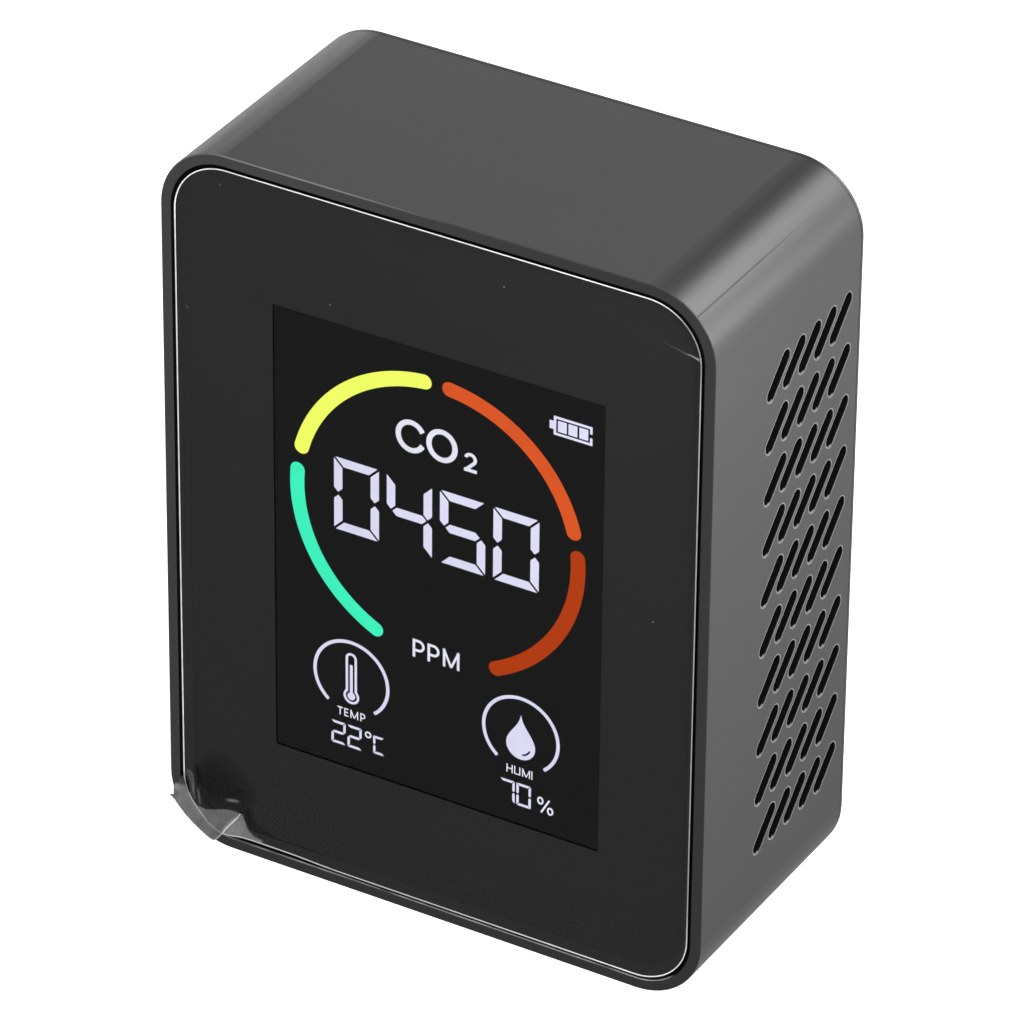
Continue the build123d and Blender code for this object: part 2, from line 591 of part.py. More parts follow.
with BuildPart() as small_components:
    for column in range(5):
        for row in range(2):
            block(BOARD_FRONT - 0.6, BOARD_FRONT, 1.6, 0.8, 1.0 + 3.4 * column,
                  24.6 + 2.4 * row)
    for side in (-1, 1):
        round_bar(BOARD_FRONT - 5.4, BOARD_FRONT, 2.0, side * 3.0 + 9.0, 73.0)
    plate(BOARD_FRONT - 2.8, BOARD_FRONT, 5.0, 5.0, 0.8, x=19.0, z=18.0)
    block(BOARD_REAR, BOARD_REAR + 1.4, 5.0, 4.0, 12.0, 22.0)
finish_piece(small_components, "small_components")

CONNECTOR_LOW = 15.5
with BuildPart() as flex_connector:
    block(BOARD_FRONT - 1.8, BOARD_FRONT, 19.0, 5.0, 0.0, CONNECTOR_LOW + 2.5)
    block(FLEX_BOARD_Y - 0.15, FLEX_BOARD_Y + 0.15, FLEX_W + 0.4, 4.0, 0.0, CONNECTOR_LOW + 2.0,
          Mode.SUBTRACT)
finish_piece(flex_connector, "flex_connector")

with BuildPart() as temp_humidity_sensor:
    block(BOARD_FRONT - 1.0, BOARD_FRONT, 3.0, 3.0, 26.5, 22.0)
    round_bar(BOARD_FRONT - 1.0, BOARD_FRONT - 0.5, 0.6, 26.5, 22.0, Mode.SUBTRACT)
finish_piece(temp_humidity_sensor, "temp_humidity_sensor")

# ---- infrared gas sensor, plugged on pins beside the vents ------------------------------------------
with BuildPart() as co2_sensor_board:
    plate(SENSOR_BOARD_FRONT, SENSOR_BOARD_REAR, SENSOR_W, SENSOR_H, 0.6, x=SENSOR_X, z=SENSOR_Z)
    for pin_x, pin_z in PIN_PLACES:
        round_bar(SENSOR_BOARD_FRONT, SENSOR_BOARD_REAR, PIN_HOLE_R, pin_x, pin_z, Mode.SUBTRACT)
finish_piece(co2_sensor_board, "co2_sensor_board")

CHAMBER_FRONT = SENSOR_BOARD_FRONT - 7.2
FILTER_R = 2.6
FILTER_PLACES = ((SENSOR_X, SENSOR_Z + 6.5), (SENSOR_X, SENSOR_Z - 6.5))
with BuildPart() as co2_chamber:
    plate(CHAMBER_FRONT, SENSOR_BOARD_FRONT, 18.0, 26.0, 2.0, x=SENSOR_X, z=SENSOR_Z)
    fillet(co2_chamber.edges().group_by(Axis.Y)[0], radius=0.8)
    for filter_x, filter_z in FILTER_PLACES:
        round_bar(CHAMBER_FRONT, CHAMBER_FRONT + 0.6, FILTER_R + 0.05, filter_x, filter_z,
                  Mode.SUBTRACT)
        round_bar(CHAMBER_FRONT, CHAMBER_FRONT + 2.0, FILTER_R - 0.8, filter_x, filter_z,
                  Mode.SUBTRACT)
finish_piece(co2_chamber, "co2_chamber")

with BuildPart() as co2_filters:
    for filter_x, filter_z in FILTER_PLACES:
        round_bar(CHAMBER_FRONT + 0.2, CHAMBER_FRONT + 0.6, FILTER_R, filter_x, filter_z)
finish_piece(co2_filters, "co2_filters")

with BuildPart() as sensor_header_pins:
    for pin_x, pin_z in PIN_PLACES:
        block(SENSOR_BOARD_FRONT - 0.6, BOARD_REAR + 0.8, PIN_W, PIN_W, pin_x, pin_z)
finish_piece(sensor_header_pins, "sensor_header_pins")

with BuildPart() as sensor_header_strips:
    for row_z, count in PIN_ROWS:
        block(SENSOR_BOARD_REAR, BOARD_FRONT, count * PIN_PITCH, 2.5, SENSOR_X, row_z)
    for pin_x, pin_z in PIN_PLACES:
        block(SENSOR_BOARD_REAR, BOARD_FRONT, PIN_W + 0.04, PIN_W + 0.04, pin_x, pin_z,
              Mode.SUBTRACT)
finish_piece(sensor_header_strips, "sensor_header_strips")

# ---- battery, its tape, leads and plug ---------------------------------------------------------------
TAPE_PAD = 0.8
BATTERY_X = -14.2
BATTERY_Z = 44.0
BATTERY_W = 27.0
BATTERY_H = 42.0
BATTERY_REAR = BOARD_FRONT - TAPE_PAD
BATTERY_FRONT = BATTERY_REAR - 9.0
with BuildPart() as battery_cell:
    plate(BATTERY_FRONT, BATTERY_REAR, BATTERY_W, BATTERY_H, 1.5, x=BATTERY_X, z=BATTERY_Z)
    fillet(battery_cell.edges().group_by(Axis.Y)[0], radius=1.2)
    fillet(battery_cell.edges().group_by(Axis.Y)[-1], radius=1.2)
finish_piece(battery_cell, "battery_cell")

with BuildPart() as battery_tape:
    plate(BATTERY_REAR, BOARD_FRONT, 20.0, 34.0, 0.5, x=BATTERY_X, z=BATTERY_Z)
finish_piece(battery_tape, "battery_tape")

LEAD_R = 0.6
LEAD_PITCH = 2.0
PLUG_X = BATTERY_X
PLUG_Z = 74.0
SOCKET_FRONT = BOARD_FRONT - 5.0
PLUG_FRONT = SOCKET_FRONT - 2.6
LEAD_Y = (BATTERY_FRONT + BATTERY_REAR) / 2
BATTERY_TOP = BATTERY_Z + BATTERY_H / 2


def corner_radius(before, corner, after):
    """The largest arc that a corner of a lead's route takes with room for its neighbours."""
    run_in = Vector(*corner) - Vector(*before)
    run_out = Vector(*after) - Vector(*corner)
    half_turn = radians(run_in.get_angle(run_out)) / 2
    return 0.45 * min(run_in.length, run_out.length) / tan(half_turn)


def lead(x):
    """One battery lead: up from the cell, forward in a loop, and back into the plug."""
    route = [(x, LEAD_Y, BATTERY_TOP), (x, LEAD_Y, BATTERY_TOP + 3.4),
             (x, PLUG_FRONT - 3.6, BATTERY_TOP + 4.6), (x, PLUG_FRONT - 4.4, PLUG_Z),
             (x, PLUG_FRONT, PLUG_Z)]
    radii = [corner_radius(*route[place:place + 3]) for place in range(len(route) - 2)]
    with BuildLine() as path:
        FilletPolyline(*route, radius=radii)
    with BuildSketch(Plane(origin=route[0], z_dir=(0, 0, 1))) as section:
        Circle(LEAD_R)
    sweep(section.sketch, path=path.wire())


with BuildPart() as battery_lead_red:
    lead(PLUG_X - LEAD_PITCH / 2)
finish_piece(battery_lead_red, "battery_lead_red")

with BuildPart() as battery_lead_black:
    lead(PLUG_X + LEAD_PITCH / 2)
finish_piece(battery_lead_black, "battery_lead_black")

SOCKET_WALL = 0.7
with BuildPart() as battery_socket:
    block(SOCKET_FRONT, BOARD_FRONT, 6.0, 5.0, PLUG_X, PLUG_Z)
    block(SOCKET_FRONT, BOARD_FRONT - 1.0, 6.0 - 2 * SOCKET_WALL, 5.0 - 2 * SOCKET_WALL,
          PLUG_X, PLUG_Z, Mode.SUBTRACT)
finish_piece(battery_socket, "battery_socket")

with BuildPart() as battery_plug:
    block(PLUG_FRONT, SOCKET_FRONT, 5.6, 4.6, PLUG_X, PLUG_Z)
    block(SOCKET_FRONT, BOARD_FRONT - 1.1, 4.5, 3.5, PLUG_X, PLUG_Z)
finish_piece(battery_plug, "battery_plug")

# ---- charging socket: a steel shell round a tongue, standing on the board -----------------------------
USB_BASE = 1.0
with BuildPart() as usb_socket:
    with BuildSketch(facing_front(USB_MOUTH + 0.15, USB_X, USB_Z)):
        SlotOverall(8.94, 3.26)
        SlotOverall(8.34, 2.66, mode=Mode.SUBTRACT)
    extrude(amount=USB_MOUTH + 0.15 - BOARD_REAR)
finish_piece(usb_socket, "usb_socket")

with BuildPart() as usb_contacts:
    with BuildSketch(facing_front(BOARD_REAR + USB_BASE, USB_X, USB_Z)):
        SlotOverall(8.3, 2.62)
    extrude(amount=USB_BASE)
    plate(BOARD_REAR + USB_BASE, USB_MOUTH - 0.5, 6.7, 0.7, 0.2, x=USB_X, z=USB_Z)
finish_piece(usb_contacts, "usb_contacts")

# ---- power switch and its button -------------------------------------------------------------------------
SWITCH_REAR = BOARD_REAR + 3.5
PLUNGER_REAR = SWITCH_REAR + 0.55
FLANGE_THICK = 0.45
with BuildPart() as tact_switch:
    block(BOARD_REAR, SWITCH_REAR, 6.0, 6.0, BUTTON_X, BUTTON_Z)
    round_bar(SWITCH_REAR - 1.4, SWITCH_REAR, 1.75, BUTTON_X, BUTTON_Z, Mode.SUBTRACT)
finish_piece(tact_switch, "tact_switch")

with BuildPart() as switch_plunger:
    round_bar(SWITCH_REAR - 0.8, PLUNGER_REAR, 1.65, BUTTON_X, BUTTON_Z)
finish_piece(switch_plunger, "switch_plunger")

with BuildPart() as power_button:
    round_bar(COVER_INNER - 0.05 - FLANGE_THICK, COVER_INNER - 0.05, BUTTON_R + 0.8,
              BUTTON_X, BUTTON_Z)
    round_bar(COVER_INNER - 0.05, REAR + BUTTON_PROUD, BUTTON_R, BUTTON_X, BUTTON_Z)
    fillet(power_button.edges().group_by(Axis.Y)[-1], radius=0.25)
    round_bar(PLUNGER_REAR, COVER_INNER - 0.05 - FLANGE_THICK, 1.6, BUTTON_X, BUTTON_Z)
    # the standard on-off mark, sunk in the face
    with BuildSketch(facing_front(REAR + BUTTON_PROUD, BUTTON_X, BUTTON_Z)) as mark:
        with BuildLine(mode=Mode.PRIVATE) as mark_arc:
            CenterArc((0, 0), 1.7, 130, 280)
        SlotArc(mark_arc.edge(), 0.36)
        with Locations((0, 1.4)):
            SlotOverall(1.9, 0.36, rotation=90)
    extrude(mark.sketch, amount=0.12, mode=Mode.SUBTRACT)
finish_piece(power_button, "power_button")
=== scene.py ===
import math

import bpy
from mathutils import Matrix, Vector
from mathutils.geometry import delaunay_2d_cdt


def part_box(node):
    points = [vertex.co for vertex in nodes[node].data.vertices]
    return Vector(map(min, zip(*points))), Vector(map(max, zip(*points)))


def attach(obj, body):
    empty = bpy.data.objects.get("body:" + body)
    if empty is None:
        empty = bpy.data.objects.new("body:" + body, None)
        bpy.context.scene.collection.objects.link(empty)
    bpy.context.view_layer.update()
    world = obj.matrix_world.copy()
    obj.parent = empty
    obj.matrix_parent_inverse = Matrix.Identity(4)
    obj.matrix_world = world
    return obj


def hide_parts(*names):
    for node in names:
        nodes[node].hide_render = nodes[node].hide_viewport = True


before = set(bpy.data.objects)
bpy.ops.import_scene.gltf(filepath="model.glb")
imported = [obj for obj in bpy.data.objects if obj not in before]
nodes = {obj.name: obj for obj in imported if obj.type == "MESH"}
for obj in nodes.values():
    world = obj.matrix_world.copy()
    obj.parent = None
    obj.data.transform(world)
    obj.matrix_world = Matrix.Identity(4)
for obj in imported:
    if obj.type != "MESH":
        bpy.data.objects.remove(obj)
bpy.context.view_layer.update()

# Looks of the carbon dioxide monitor: its finishes, the protective film with its lifted corner
# and pull tab, and the studio. Lengths are in metres unless a name or comment says millimetres.
MM = 0.001
HALF_WIDTH = 34.0                # of the housing, in millimetres
HALF_HEIGHT = 44.5
CORNER = 8.0


def placed(name, data):
    """An object of this data, put in the scene."""
    thing = bpy.data.objects.new(name, data)
    bpy.context.scene.collection.objects.link(thing)
    return thing


# ---- camera ---------------------------------------------------------------------------------
CAMERA_AZIMUTH = math.radians(29.992)
CAMERA_ELEVATION = math.radians(32.026)
CAMERA_ROLL = math.radians(0.602)
CAMERA_DISTANCE = 833.32 * MM
CAMERA_AIM = Vector((0.46, 0.0, 44.34)) * MM
CAMERA_LENS = 268.16


def make_camera():
    """The camera stands in front, to the right and above, a little rolled."""
    data = bpy.data.cameras.new("camera")
    data.lens = CAMERA_LENS
    data.sensor_width = 36.0
    data.clip_start = 0.05
    data.clip_end = 20.0
    camera = placed("camera", data)
    back = Vector((math.sin(CAMERA_AZIMUTH) * math.cos(CAMERA_ELEVATION),
                   -math.cos(CAMERA_AZIMUTH) * math.cos(CAMERA_ELEVATION),
                   math.sin(CAMERA_ELEVATION)))
    level = Vector((math.cos(CAMERA_AZIMUTH), math.sin(CAMERA_AZIMUTH), 0.0))
    upright = back.cross(level)
    right = math.cos(CAMERA_ROLL) * level + math.sin(CAMERA_ROLL) * upright
    up = math.cos(CAMERA_ROLL) * upright - math.sin(CAMERA_ROLL) * level
    turn = Matrix((right, up, back)).transposed().to_4x4()
    camera.matrix_world = Matrix.Translation(CAMERA_AIM + CAMERA_DISTANCE * back) @ turn
    bpy.context.scene.camera = camera


make_camera()


# ---- material helpers -----------------------------------------------------------------------
class Shade:
    """A node material under construction: a Principled shader and short ways to add to it."""

    def __init__(self, name):
        self.material = bpy.data.materials.new(name)
        self.material.use_nodes = True
        self.tree = self.material.node_tree
        self.shader = self.tree.nodes["Principled BSDF"]
        self.output = self.tree.nodes["Material Output"]
        self.place = self.add("ShaderNodeTexCoord").outputs["Object"]

    def add(self, kind, **settings):
        node = self.tree.nodes.new(kind)
        for key, value in settings.items():
            setattr(node, key, value)
        return node

    def feed(self, socket, value):
        """Link a socket to a socket, or set a plain value on it."""
        if isinstance(value, bpy.types.NodeSocket):
            self.tree.links.new(value, socket)
        else:
            socket.default_value = value

    def math(self, operation, first, second=0.0, clamp=False):
        node = self.add("ShaderNodeMath", operation=operation, use_clamp=clamp)
        for socket, value in zip(node.inputs, (first, second)):
            self.feed(socket, value)
        return node.outputs[0]

    def axes(self):
        """X, Y and Z of the point being shaded, in millimetres in the part's frame."""
        scaled = self.add("ShaderNodeVectorMath", operation="SCALE")
        self.feed(scaled.inputs[0], self.place)
        scaled.inputs["Scale"].default_value = 1 / MM
        node = self.add("ShaderNodeSeparateXYZ")
        self.feed(node.inputs[0], scaled.outputs[0])
        return node.outputs

    def inset(self):
        """Distance inwards from the housing's outline, seen from the front, in millimetres."""
        x, _, z = self.axes()
        across = self.math("SUBTRACT", self.math("ABSOLUTE", x), HALF_WIDTH - CORNER)
        middle = self.math("ABSOLUTE", self.math("SUBTRACT", z, HALF_HEIGHT))
        along = self.math("SUBTRACT", middle, HALF_HEIGHT - CORNER)
        short = self.math("MINIMUM", self.math("MAXIMUM", across, along), 0.0)
        wide = self.math("POWER", self.math("MAXIMUM", across, 0.0), 2.0)
        tall = self.math("POWER", self.math("MAXIMUM", along, 0.0), 2.0)
        reach = self.math("SQRT", self.math("ADD", wide, tall))
        return self.math("SUBTRACT", CORNER, self.math("ADD", reach, short))

    def attribute(self, name):
        """A number stored on the mesh's points."""
        return self.add("ShaderNodeAttribute", attribute_name=name).outputs["Fac"]

    def noise(self, scale, detail=2.0, roughness=0.5, stretch=None):
        """Noise from 0 to 1; scale is in repeats per metre."""
        node = self.add("ShaderNodeTexNoise")
        source = self.place
        if stretch is not None:
            mapping = self.add("ShaderNodeMapping")
            self.feed(mapping.inputs["Vector"], self.place)
            mapping.inputs["Scale"].default_value = stretch
            source = mapping.outputs[0]
        self.feed(node.inputs["Vector"], source)
        node.inputs["Scale"].default_value = scale
        node.inputs["Detail"].default_value = detail
        node.inputs["Roughness"].default_value = roughness
        return node.outputs["Fac"]

    def specks(self, spacing, size, share):
        """1 on tiny scattered specks: one in a cell of this spacing, in this share of the cells."""
        node = self.add("ShaderNodeTexVoronoi")
        self.feed(node.inputs["Vector"], self.place)
        node.inputs["Scale"].default_value = 1 / spacing
        near = self.math("LESS_THAN", node.outputs["Distance"], size / spacing)
        cell = self.add("ShaderNodeSeparateColor")
        self.feed(cell.inputs[0], node.outputs["Color"])
        picked = self.math("LESS_THAN", cell.outputs[0], share)
        return self.math("MULTIPLY", near, picked)

    def spread(self, value, low, high, to_low=0.0, to_high=1.0):
        """Map value's range low..high onto another, held at its ends."""
        node = self.add("ShaderNodeMapRange")
        for socket, number in zip(node.inputs, (value, low, high, to_low, to_high)):
            self.feed(socket, number)
        return node.outputs[0]

    def ramp(self, value, *stops):
        """A colour ramp over (position, colour) stops."""
        node = self.add("ShaderNodeValToRGB")
        self.feed(node.inputs[0], value)
        points = node.color_ramp.elements
        while len(points) < len(stops):
            points.new(0.5)
        for point, (position, colour) in zip(points, stops):
            point.position = position
            point.color = (*colour, 1.0)
        return node.outputs["Color"]

    def blend(self, share, first, second):
        """Mix two colours by share."""
        node = self.add("ShaderNodeMix", data_type="RGBA")
        self.feed(node.inputs[0], share)
        for socket, colour in ((node.inputs[6], first), (node.inputs[7], second)):
            self.feed(socket, colour if isinstance(colour, bpy.types.NodeSocket) else (*colour, 1.0))
        return node.outputs[2]

    def mix(self, share, first, second):
        """Mix two shaders by share."""
        node = self.add("ShaderNodeMixShader")
        for socket, value in zip(node.inputs, (share, first, second)):
            self.feed(socket, value)
        return node.outputs[0]

    def backfacing(self):
        """1 where a face is seen from its back."""
        return self.add("ShaderNodeNewGeometry").outputs["Backfacing"]

    def scaled(self, colour, factor):
        """A colour made lighter or darker by factor."""
        node = self.add("ShaderNodeVectorMath", operation="SCALE")
        self.feed(node.inputs[0], colour)
        self.feed(node.inputs["Scale"], factor)
        return node.outputs[0]

    def bump(self, height, distance, strength):
        """Bump of this height in metres; the result feeds a Normal socket."""
        node = self.add("ShaderNodeBump")
        node.inputs["Strength"].default_value = strength
        node.inputs["Distance"].default_value = distance
        self.feed(node.inputs["Height"], height)
        return node.outputs[0]

    def set(self, **values):
        """Set the Principled shader's sockets by name, with _ for a space."""
        for key, value in values.items():
            socket = self.shader.inputs[key.replace("_", " ")]
            if isinstance(value, tuple) and len(value) == 3:
                value = (*value, 1.0)
            self.feed(socket, value)
        return self


def grey(value):
    return (value, value, value)


def tint(colour, factor):
    return tuple(min(1.0, part * factor) for part in colour)


def give(shade, *names):
    """Put a material on CAD nodes."""
    for name in names:
        mesh = nodes[name].data
        mesh.materials.clear()
        mesh.materials.append(shade.material)


def plastic(name, colour, roughness=0.4, grain=5000.0, depth=0.004, vary=0.05):
    """Moulded plastic with a fine spark-eroded grain, depth millimetres deep, and faint flow marks."""
    shade = Shade(name)
    cloud = shade.noise(55.0, 4.0)
    fine = shade.noise(grain, 3.0, 0.6)
    shade.set(
        Base_Color=shade.ramp(cloud, (0.25, tint(colour, 1 - vary)), (0.75, tint(colour, 1 + vary))),
        Roughness=shade.spread(fine, 0.3, 0.7, roughness - 0.05, roughness + 0.05),
        Normal=shade.bump(fine, depth * MM, 0.6),
    )
    return shade


def metal(name, colour, roughness=0.3, stretch=(1.0, 1.0, 0.03), grain=9000.0):
    """Rolled or plated metal with fine drawn lines."""
    shade = Shade(name)
    lines = shade.noise(grain, 4.0, 0.6, stretch)
    cloud = shade.noise(140.0, 3.0)
    shade.set(
        Base_Color=shade.ramp(cloud, (0.3, tint(colour, 0.86)), (0.7, tint(colour, 1.08))),
        Roughness=shade.spread(lines, 0.3, 0.7, roughness - 0.08, roughness + 0.1),
        Normal=shade.bump(lines, 0.004 * MM, 0.4),
    )
    shade.shader.inputs["Metallic"].default_value = 1.0
    return shade


# ---- housing and cover ----------------------------------------------------------------------
ABS_GREY = grey(0.036)
ABS_ROUGHNESS = 0.34
ABS_VARIATION = 0.04
ABS_GLOSS = 0.5                  # specular level
SHADE_AND_SEAM_BLACK = grey(0.005)              # painted shade of hollows that no light comes back from, and the dark of the parting line

# places on the housing, in millimetres
RIM_PLANE = -16.2                # the flat rim lies in front of this
EDGE_PLANE = -16.13              # and its rounded edge in front of this
EDGE_WIDTH = 0.12
EDGE_LOW = 85.0
RECESS_REAR = -13.0
RECESS_INSET = (1.24, 1.3)
INSIDE_FRONT = -14.0
INSIDE_INSET = (0.02, 0.05)
SLOT_ZONE = (-12.0, 15.0)        # depths that the slots lie between
SLOT_TOP = 80.0
BEVEL_INSET = (0.004, 0.125)
CORNER_X, CORNER_Z = HALF_WIDTH - CORNER, 2 * HALF_HEIGHT - CORNER
CORNER_INSET = 0.5
PARTING_ANGLE = math.radians(44.4)
PARTING_FRONT = -16.1


def band(shade, value, low, high, soft):
    """1 between low and high, falling to 0 over soft on both sides."""
    rise = shade.spread(value, low - soft, low)
    fall = shade.spread(value, high, high + soft, 1.0, 0.0)
    return shade.math("MULTIPLY", rise, fall)


def both(shade, *parts):
    """All of these masks at once."""
    whole = parts[0]
    for part in parts[1:]:
        whole = shade.math("MULTIPLY", whole, part)
    return whole


VENT_Y, VENT_Z = 4.6, 44.5       # middle of the slots on a side, in millimetres
VENT_PITCH, VENT_ROW = 3.46, 6.4
FIRST_ROW, LAST_ROW = -5.0, 4.0  # rows counted from the one above the middle
OUTER_COLUMN = 2.0               # columns counted from the middle one
SLOT_HALF, SLOT_RADIUS = 2.15, 0.8


def slot_gap(shade, y, z):
    """Distance outwards from the nearest slot's wall, on a side; the slots lean 45 degrees back."""
    high = shade.math("SUBTRACT", z, VENT_Z)
    row = shade.math("FLOOR", shade.math("DIVIDE", high, VENT_ROW))
    row = shade.math("MINIMUM", shade.math("MAXIMUM", row, FIRST_ROW), LAST_ROW)
    row_middle = shade.math("MULTIPLY", shade.math("ADD", row, 0.5), VENT_ROW)
    high = shade.math("SUBTRACT", high, row_middle)
    deep = shade.math("SUBTRACT", y, VENT_Y)
    step = VENT_PITCH / math.sqrt(2)
    across = shade.math("MULTIPLY", shade.math("SUBTRACT", deep, high), 1 / math.sqrt(2))
    along = shade.math("MULTIPLY", shade.math("ADD", deep, high), 1 / math.sqrt(2))
    column = shade.math("ROUND", shade.math("DIVIDE", across, step))
    column = shade.math("MINIMUM", shade.math("MAXIMUM", column, -OUTER_COLUMN), OUTER_COLUMN)
    shift = shade.math("MULTIPLY", column, step)
    across = shade.math("SUBTRACT", across, shift)
    along = shade.math("ABSOLUTE", shade.math("SUBTRACT", along, shift))
    along = shade.math("MAXIMUM", shade.math("SUBTRACT", along, SLOT_HALF), 0.0)
    reach = shade.math("ADD", shade.math("POWER", along, 2.0), shade.math("MULTIPLY", across, across))
    return shade.math("SUBTRACT", shade.math("SQRT", reach), SLOT_RADIUS)


def housing_abs():
    """The shell: satin grey ABS with painted light and shade, painted black inside its slots as shade,
    and a parting line along one corner.
    """
    shade = plastic("abs_shell", ABS_GREY, ABS_ROUGHNESS, vary=ABS_VARIATION)
    x, y, z = shade.axes()
    inset = shade.inset()
    normal = shade.add("ShaderNodeSeparateXYZ")
    shade.feed(normal.inputs[0], shade.add("ShaderNodeNewGeometry").outputs["Normal"])
    aside, ahead, upward = normal.outputs
    colour = shade.shader.inputs["Base Color"].links[0].from_socket
    # the greys below are set by place to match the photograph, and carry some of its light
    # painted light: the flat top is painted paler, and the sides paler high up and darker low down
    painted_top_light = shade.spread(upward, 0.985, 0.998, 0.0, 0.3)
    sideways = shade.math("ABSOLUTE", aside)
    painted_side_shading = shade.math("MULTIPLY", sideways, shade.spread(z, 4.0, 84.0, -0.3, 0.3))
    colour = shade.scaled(colour, shade.math("ADD", 1.0, shade.math("ADD", painted_top_light, painted_side_shading)))
    # painted light and shade: the flat rim is paler to the upper left and darker below, with a painted
    # shadow at its foot
    rim = shade.math("LESS_THAN", y, RIM_PLANE)
    painted_rim_shading = shade.ramp(shade.spread(x, -HALF_WIDTH, HALF_WIDTH),
                            (0.0, grey(0.048)), (0.25, grey(0.051)), (0.5, grey(0.033)),
                            (0.8, grey(0.018)), (1.0, grey(0.022)))
    painted_rim_shading = shade.scaled(painted_rim_shading, shade.spread(z, 10.0, 70.0, 0.75, 1.05))
    painted_rim_shading = shade.blend(shade.spread(z, 0.5, 9.0), grey(0.012), painted_rim_shading)
    colour = shade.blend(rim, colour, painted_rim_shading)
    # painted highlight: the top front edge is painted bright to the left
    edge = both(shade, shade.math("LESS_THAN", y, EDGE_PLANE),
                shade.math("LESS_THAN", inset, EDGE_WIDTH), shade.math("GREATER_THAN", z, EDGE_LOW))
    bright = shade.ramp(shade.spread(x, -28.0, 2.0), (0.5, grey(0.3)), (1.0, grey(0.06)))
    colour = shade.blend(edge, colour, bright)
    # painted shade: slot walls, the inside and the walls of the lens recess are painted black, without
    # gloss
    behind = both(shade, shade.spread(inset, *INSIDE_INSET),
                  shade.math("GREATER_THAN", y, INSIDE_FRONT))
    recess = both(shade, shade.spread(inset, *RECESS_INSET),
                  shade.math("LESS_THAN", y, RECESS_REAR))
    inside = shade.math("MAXIMUM", behind, recess)
    # painted highlight: the recess's lower edge is painted pale, as if it caught light from above
    low = shade.spread(z, 2.6, 3.4, 1.0, 0.0)
    glow = shade.noise(300.0, 3.0)
    painted_lower_wall_light = shade.blend(band(shade, inset, 1.28, 1.4, 0.05), grey(0.015),
                             shade.ramp(glow, (0.3, grey(0.15)), (0.7, grey(0.6))))
    # painted highlight: a slot's bevel is pale on its lower and front side, and a thin pale band
    # follows the slot;
    # some of that paleness may be the photograph's sharpening
    lean = shade.math("ADD", ahead, upward)
    bevel = both(shade, shade.math("GREATER_THAN", inset, BEVEL_INSET[0]),
                 shade.math("LESS_THAN", inset, BEVEL_INSET[1]),
                 shade.math("GREATER_THAN", y, SLOT_ZONE[0]),
                 shade.math("LESS_THAN", y, SLOT_ZONE[1]),
                 shade.math("LESS_THAN", z, SLOT_TOP), shade.spread(lean, 0.25, 0.5))
    inside = shade.math("SUBTRACT", inside, bevel, clamp=True)
    painted_slot_halo = both(shade, band(shade, slot_gap(shade, y, z), 0.11, 0.2, 0.05),
                  shade.math("LESS_THAN", inset, INSIDE_INSET[0]),
                  shade.math("GREATER_THAN", sideways, 0.9))
    # the parting line fades out towards the rear
    angle = shade.math("ARCTAN2", shade.math("SUBTRACT", x, CORNER_X),
                       shade.math("SUBTRACT", z, CORNER_Z))
    off = shade.math("ABSOLUTE", shade.math("SUBTRACT", angle, PARTING_ANGLE))
    corner = both(shade, shade.math("GREATER_THAN", x, CORNER_X),
                  shade.math("GREATER_THAN", z, CORNER_Z),
                  shade.math("LESS_THAN", inset, CORNER_INSET))
    line = both(shade, shade.spread(off, 0.006, 0.014, 1.0, 0.0),
                shade.spread(y, -2.0, 11.5, 0.9, 0.0), corner,
                shade.math("GREATER_THAN", y, PARTING_FRONT))
    dust = shade.specks(5.5 * MM, 0.055 * MM, 0.3)
    colour = shade.blend(dust, colour, grey(0.2))
    pale = shade.blend(bevel, grey(0.2), grey(0.08))
    colour = shade.blend(shade.math("MAXIMUM", bevel, painted_slot_halo), colour, pale)
    colour = shade.blend(shade.math("MAXIMUM", inside, line), colour, SHADE_AND_SEAM_BLACK)
    colour = shade.blend(both(shade, recess, low), colour, painted_lower_wall_light)
    shade.set(Base_Color=colour)
    # the line and the unlit walls mirror little, and the corner's sheen weakens towards the rear
    faded = both(shade, corner, shade.spread(y, -12.0, 10.0, 0.0, 0.24),
                 shade.spread(angle, 0.35, 0.75), shade.spread(angle, 1.1, 1.5, 1.0, 0.0))
    dull = shade.math("MAXIMUM", inside, faded)
    dull = shade.math("MAXIMUM", dull, shade.math("MULTIPLY", line, 0.45))
    shade.set(Specular_IOR_Level=shade.spread(dull, 0.0, 1.0, ABS_GLOSS, 0.0))
    return shade


give(housing_abs(), "housing")
give(plastic("abs_cover", ABS_GREY, ABS_ROUGHNESS, vary=ABS_VARIATION), "rear_cover")
give(plastic("abs_button", tint(ABS_GREY, 0.8), ABS_ROUGHNESS), "power_button")


# ---- lens, mask and what the display shows -----------------------------------------------------
FILM_ROUGHNESS = 0.06
FILM_IOR = 1.45


def gloss_over(shade, under, amount):
    """Lay the film's mirror-like face over a shader: it reflects by Fresnel, on the outer side only."""
    gloss = shade.add("ShaderNodeBsdfGlossy")
    gloss.inputs["Roughness"].default_value = FILM_ROUGHNESS
    fresnel = shade.add("ShaderNodeFresnel")
    fresnel.inputs["IOR"].default_value = FILM_IOR
    outer = shade.math("SUBTRACT", 1.0, shade.backfacing())
    amount = shade.math("MULTIPLY", outer, amount)
    share = shade.math("MULTIPLY", fresnel.outputs[0], amount)
    shade.feed(shade.output.inputs["Surface"], shade.mix(share, under, gloss.outputs[0]))


def printed(name, low, high, gloss):
    """A dark layer behind the lens with the lens's gloss, grey low at its foot and high at its top: a
    painted reflection.
    """
    shade = Shade(name)
    z = shade.axes()[2]
    cloud = shade.noise(40.0, 3.0)
    # painted reflection: the grey rises from the foot to the top
    rise = shade.math("ADD", shade.spread(z, 12.0, 84.0), shade.spread(cloud, 0.3, 0.7, -0.1, 0.1))
    shade.set(Base_Color=shade.ramp(rise, (0.0, grey(low)), (1.0, grey(high))),
              Roughness=shade.spread(cloud, 0.3, 0.7, 0.05, 0.07))
    shade.shader.inputs["Specular IOR Level"].default_value = gloss
    return shade


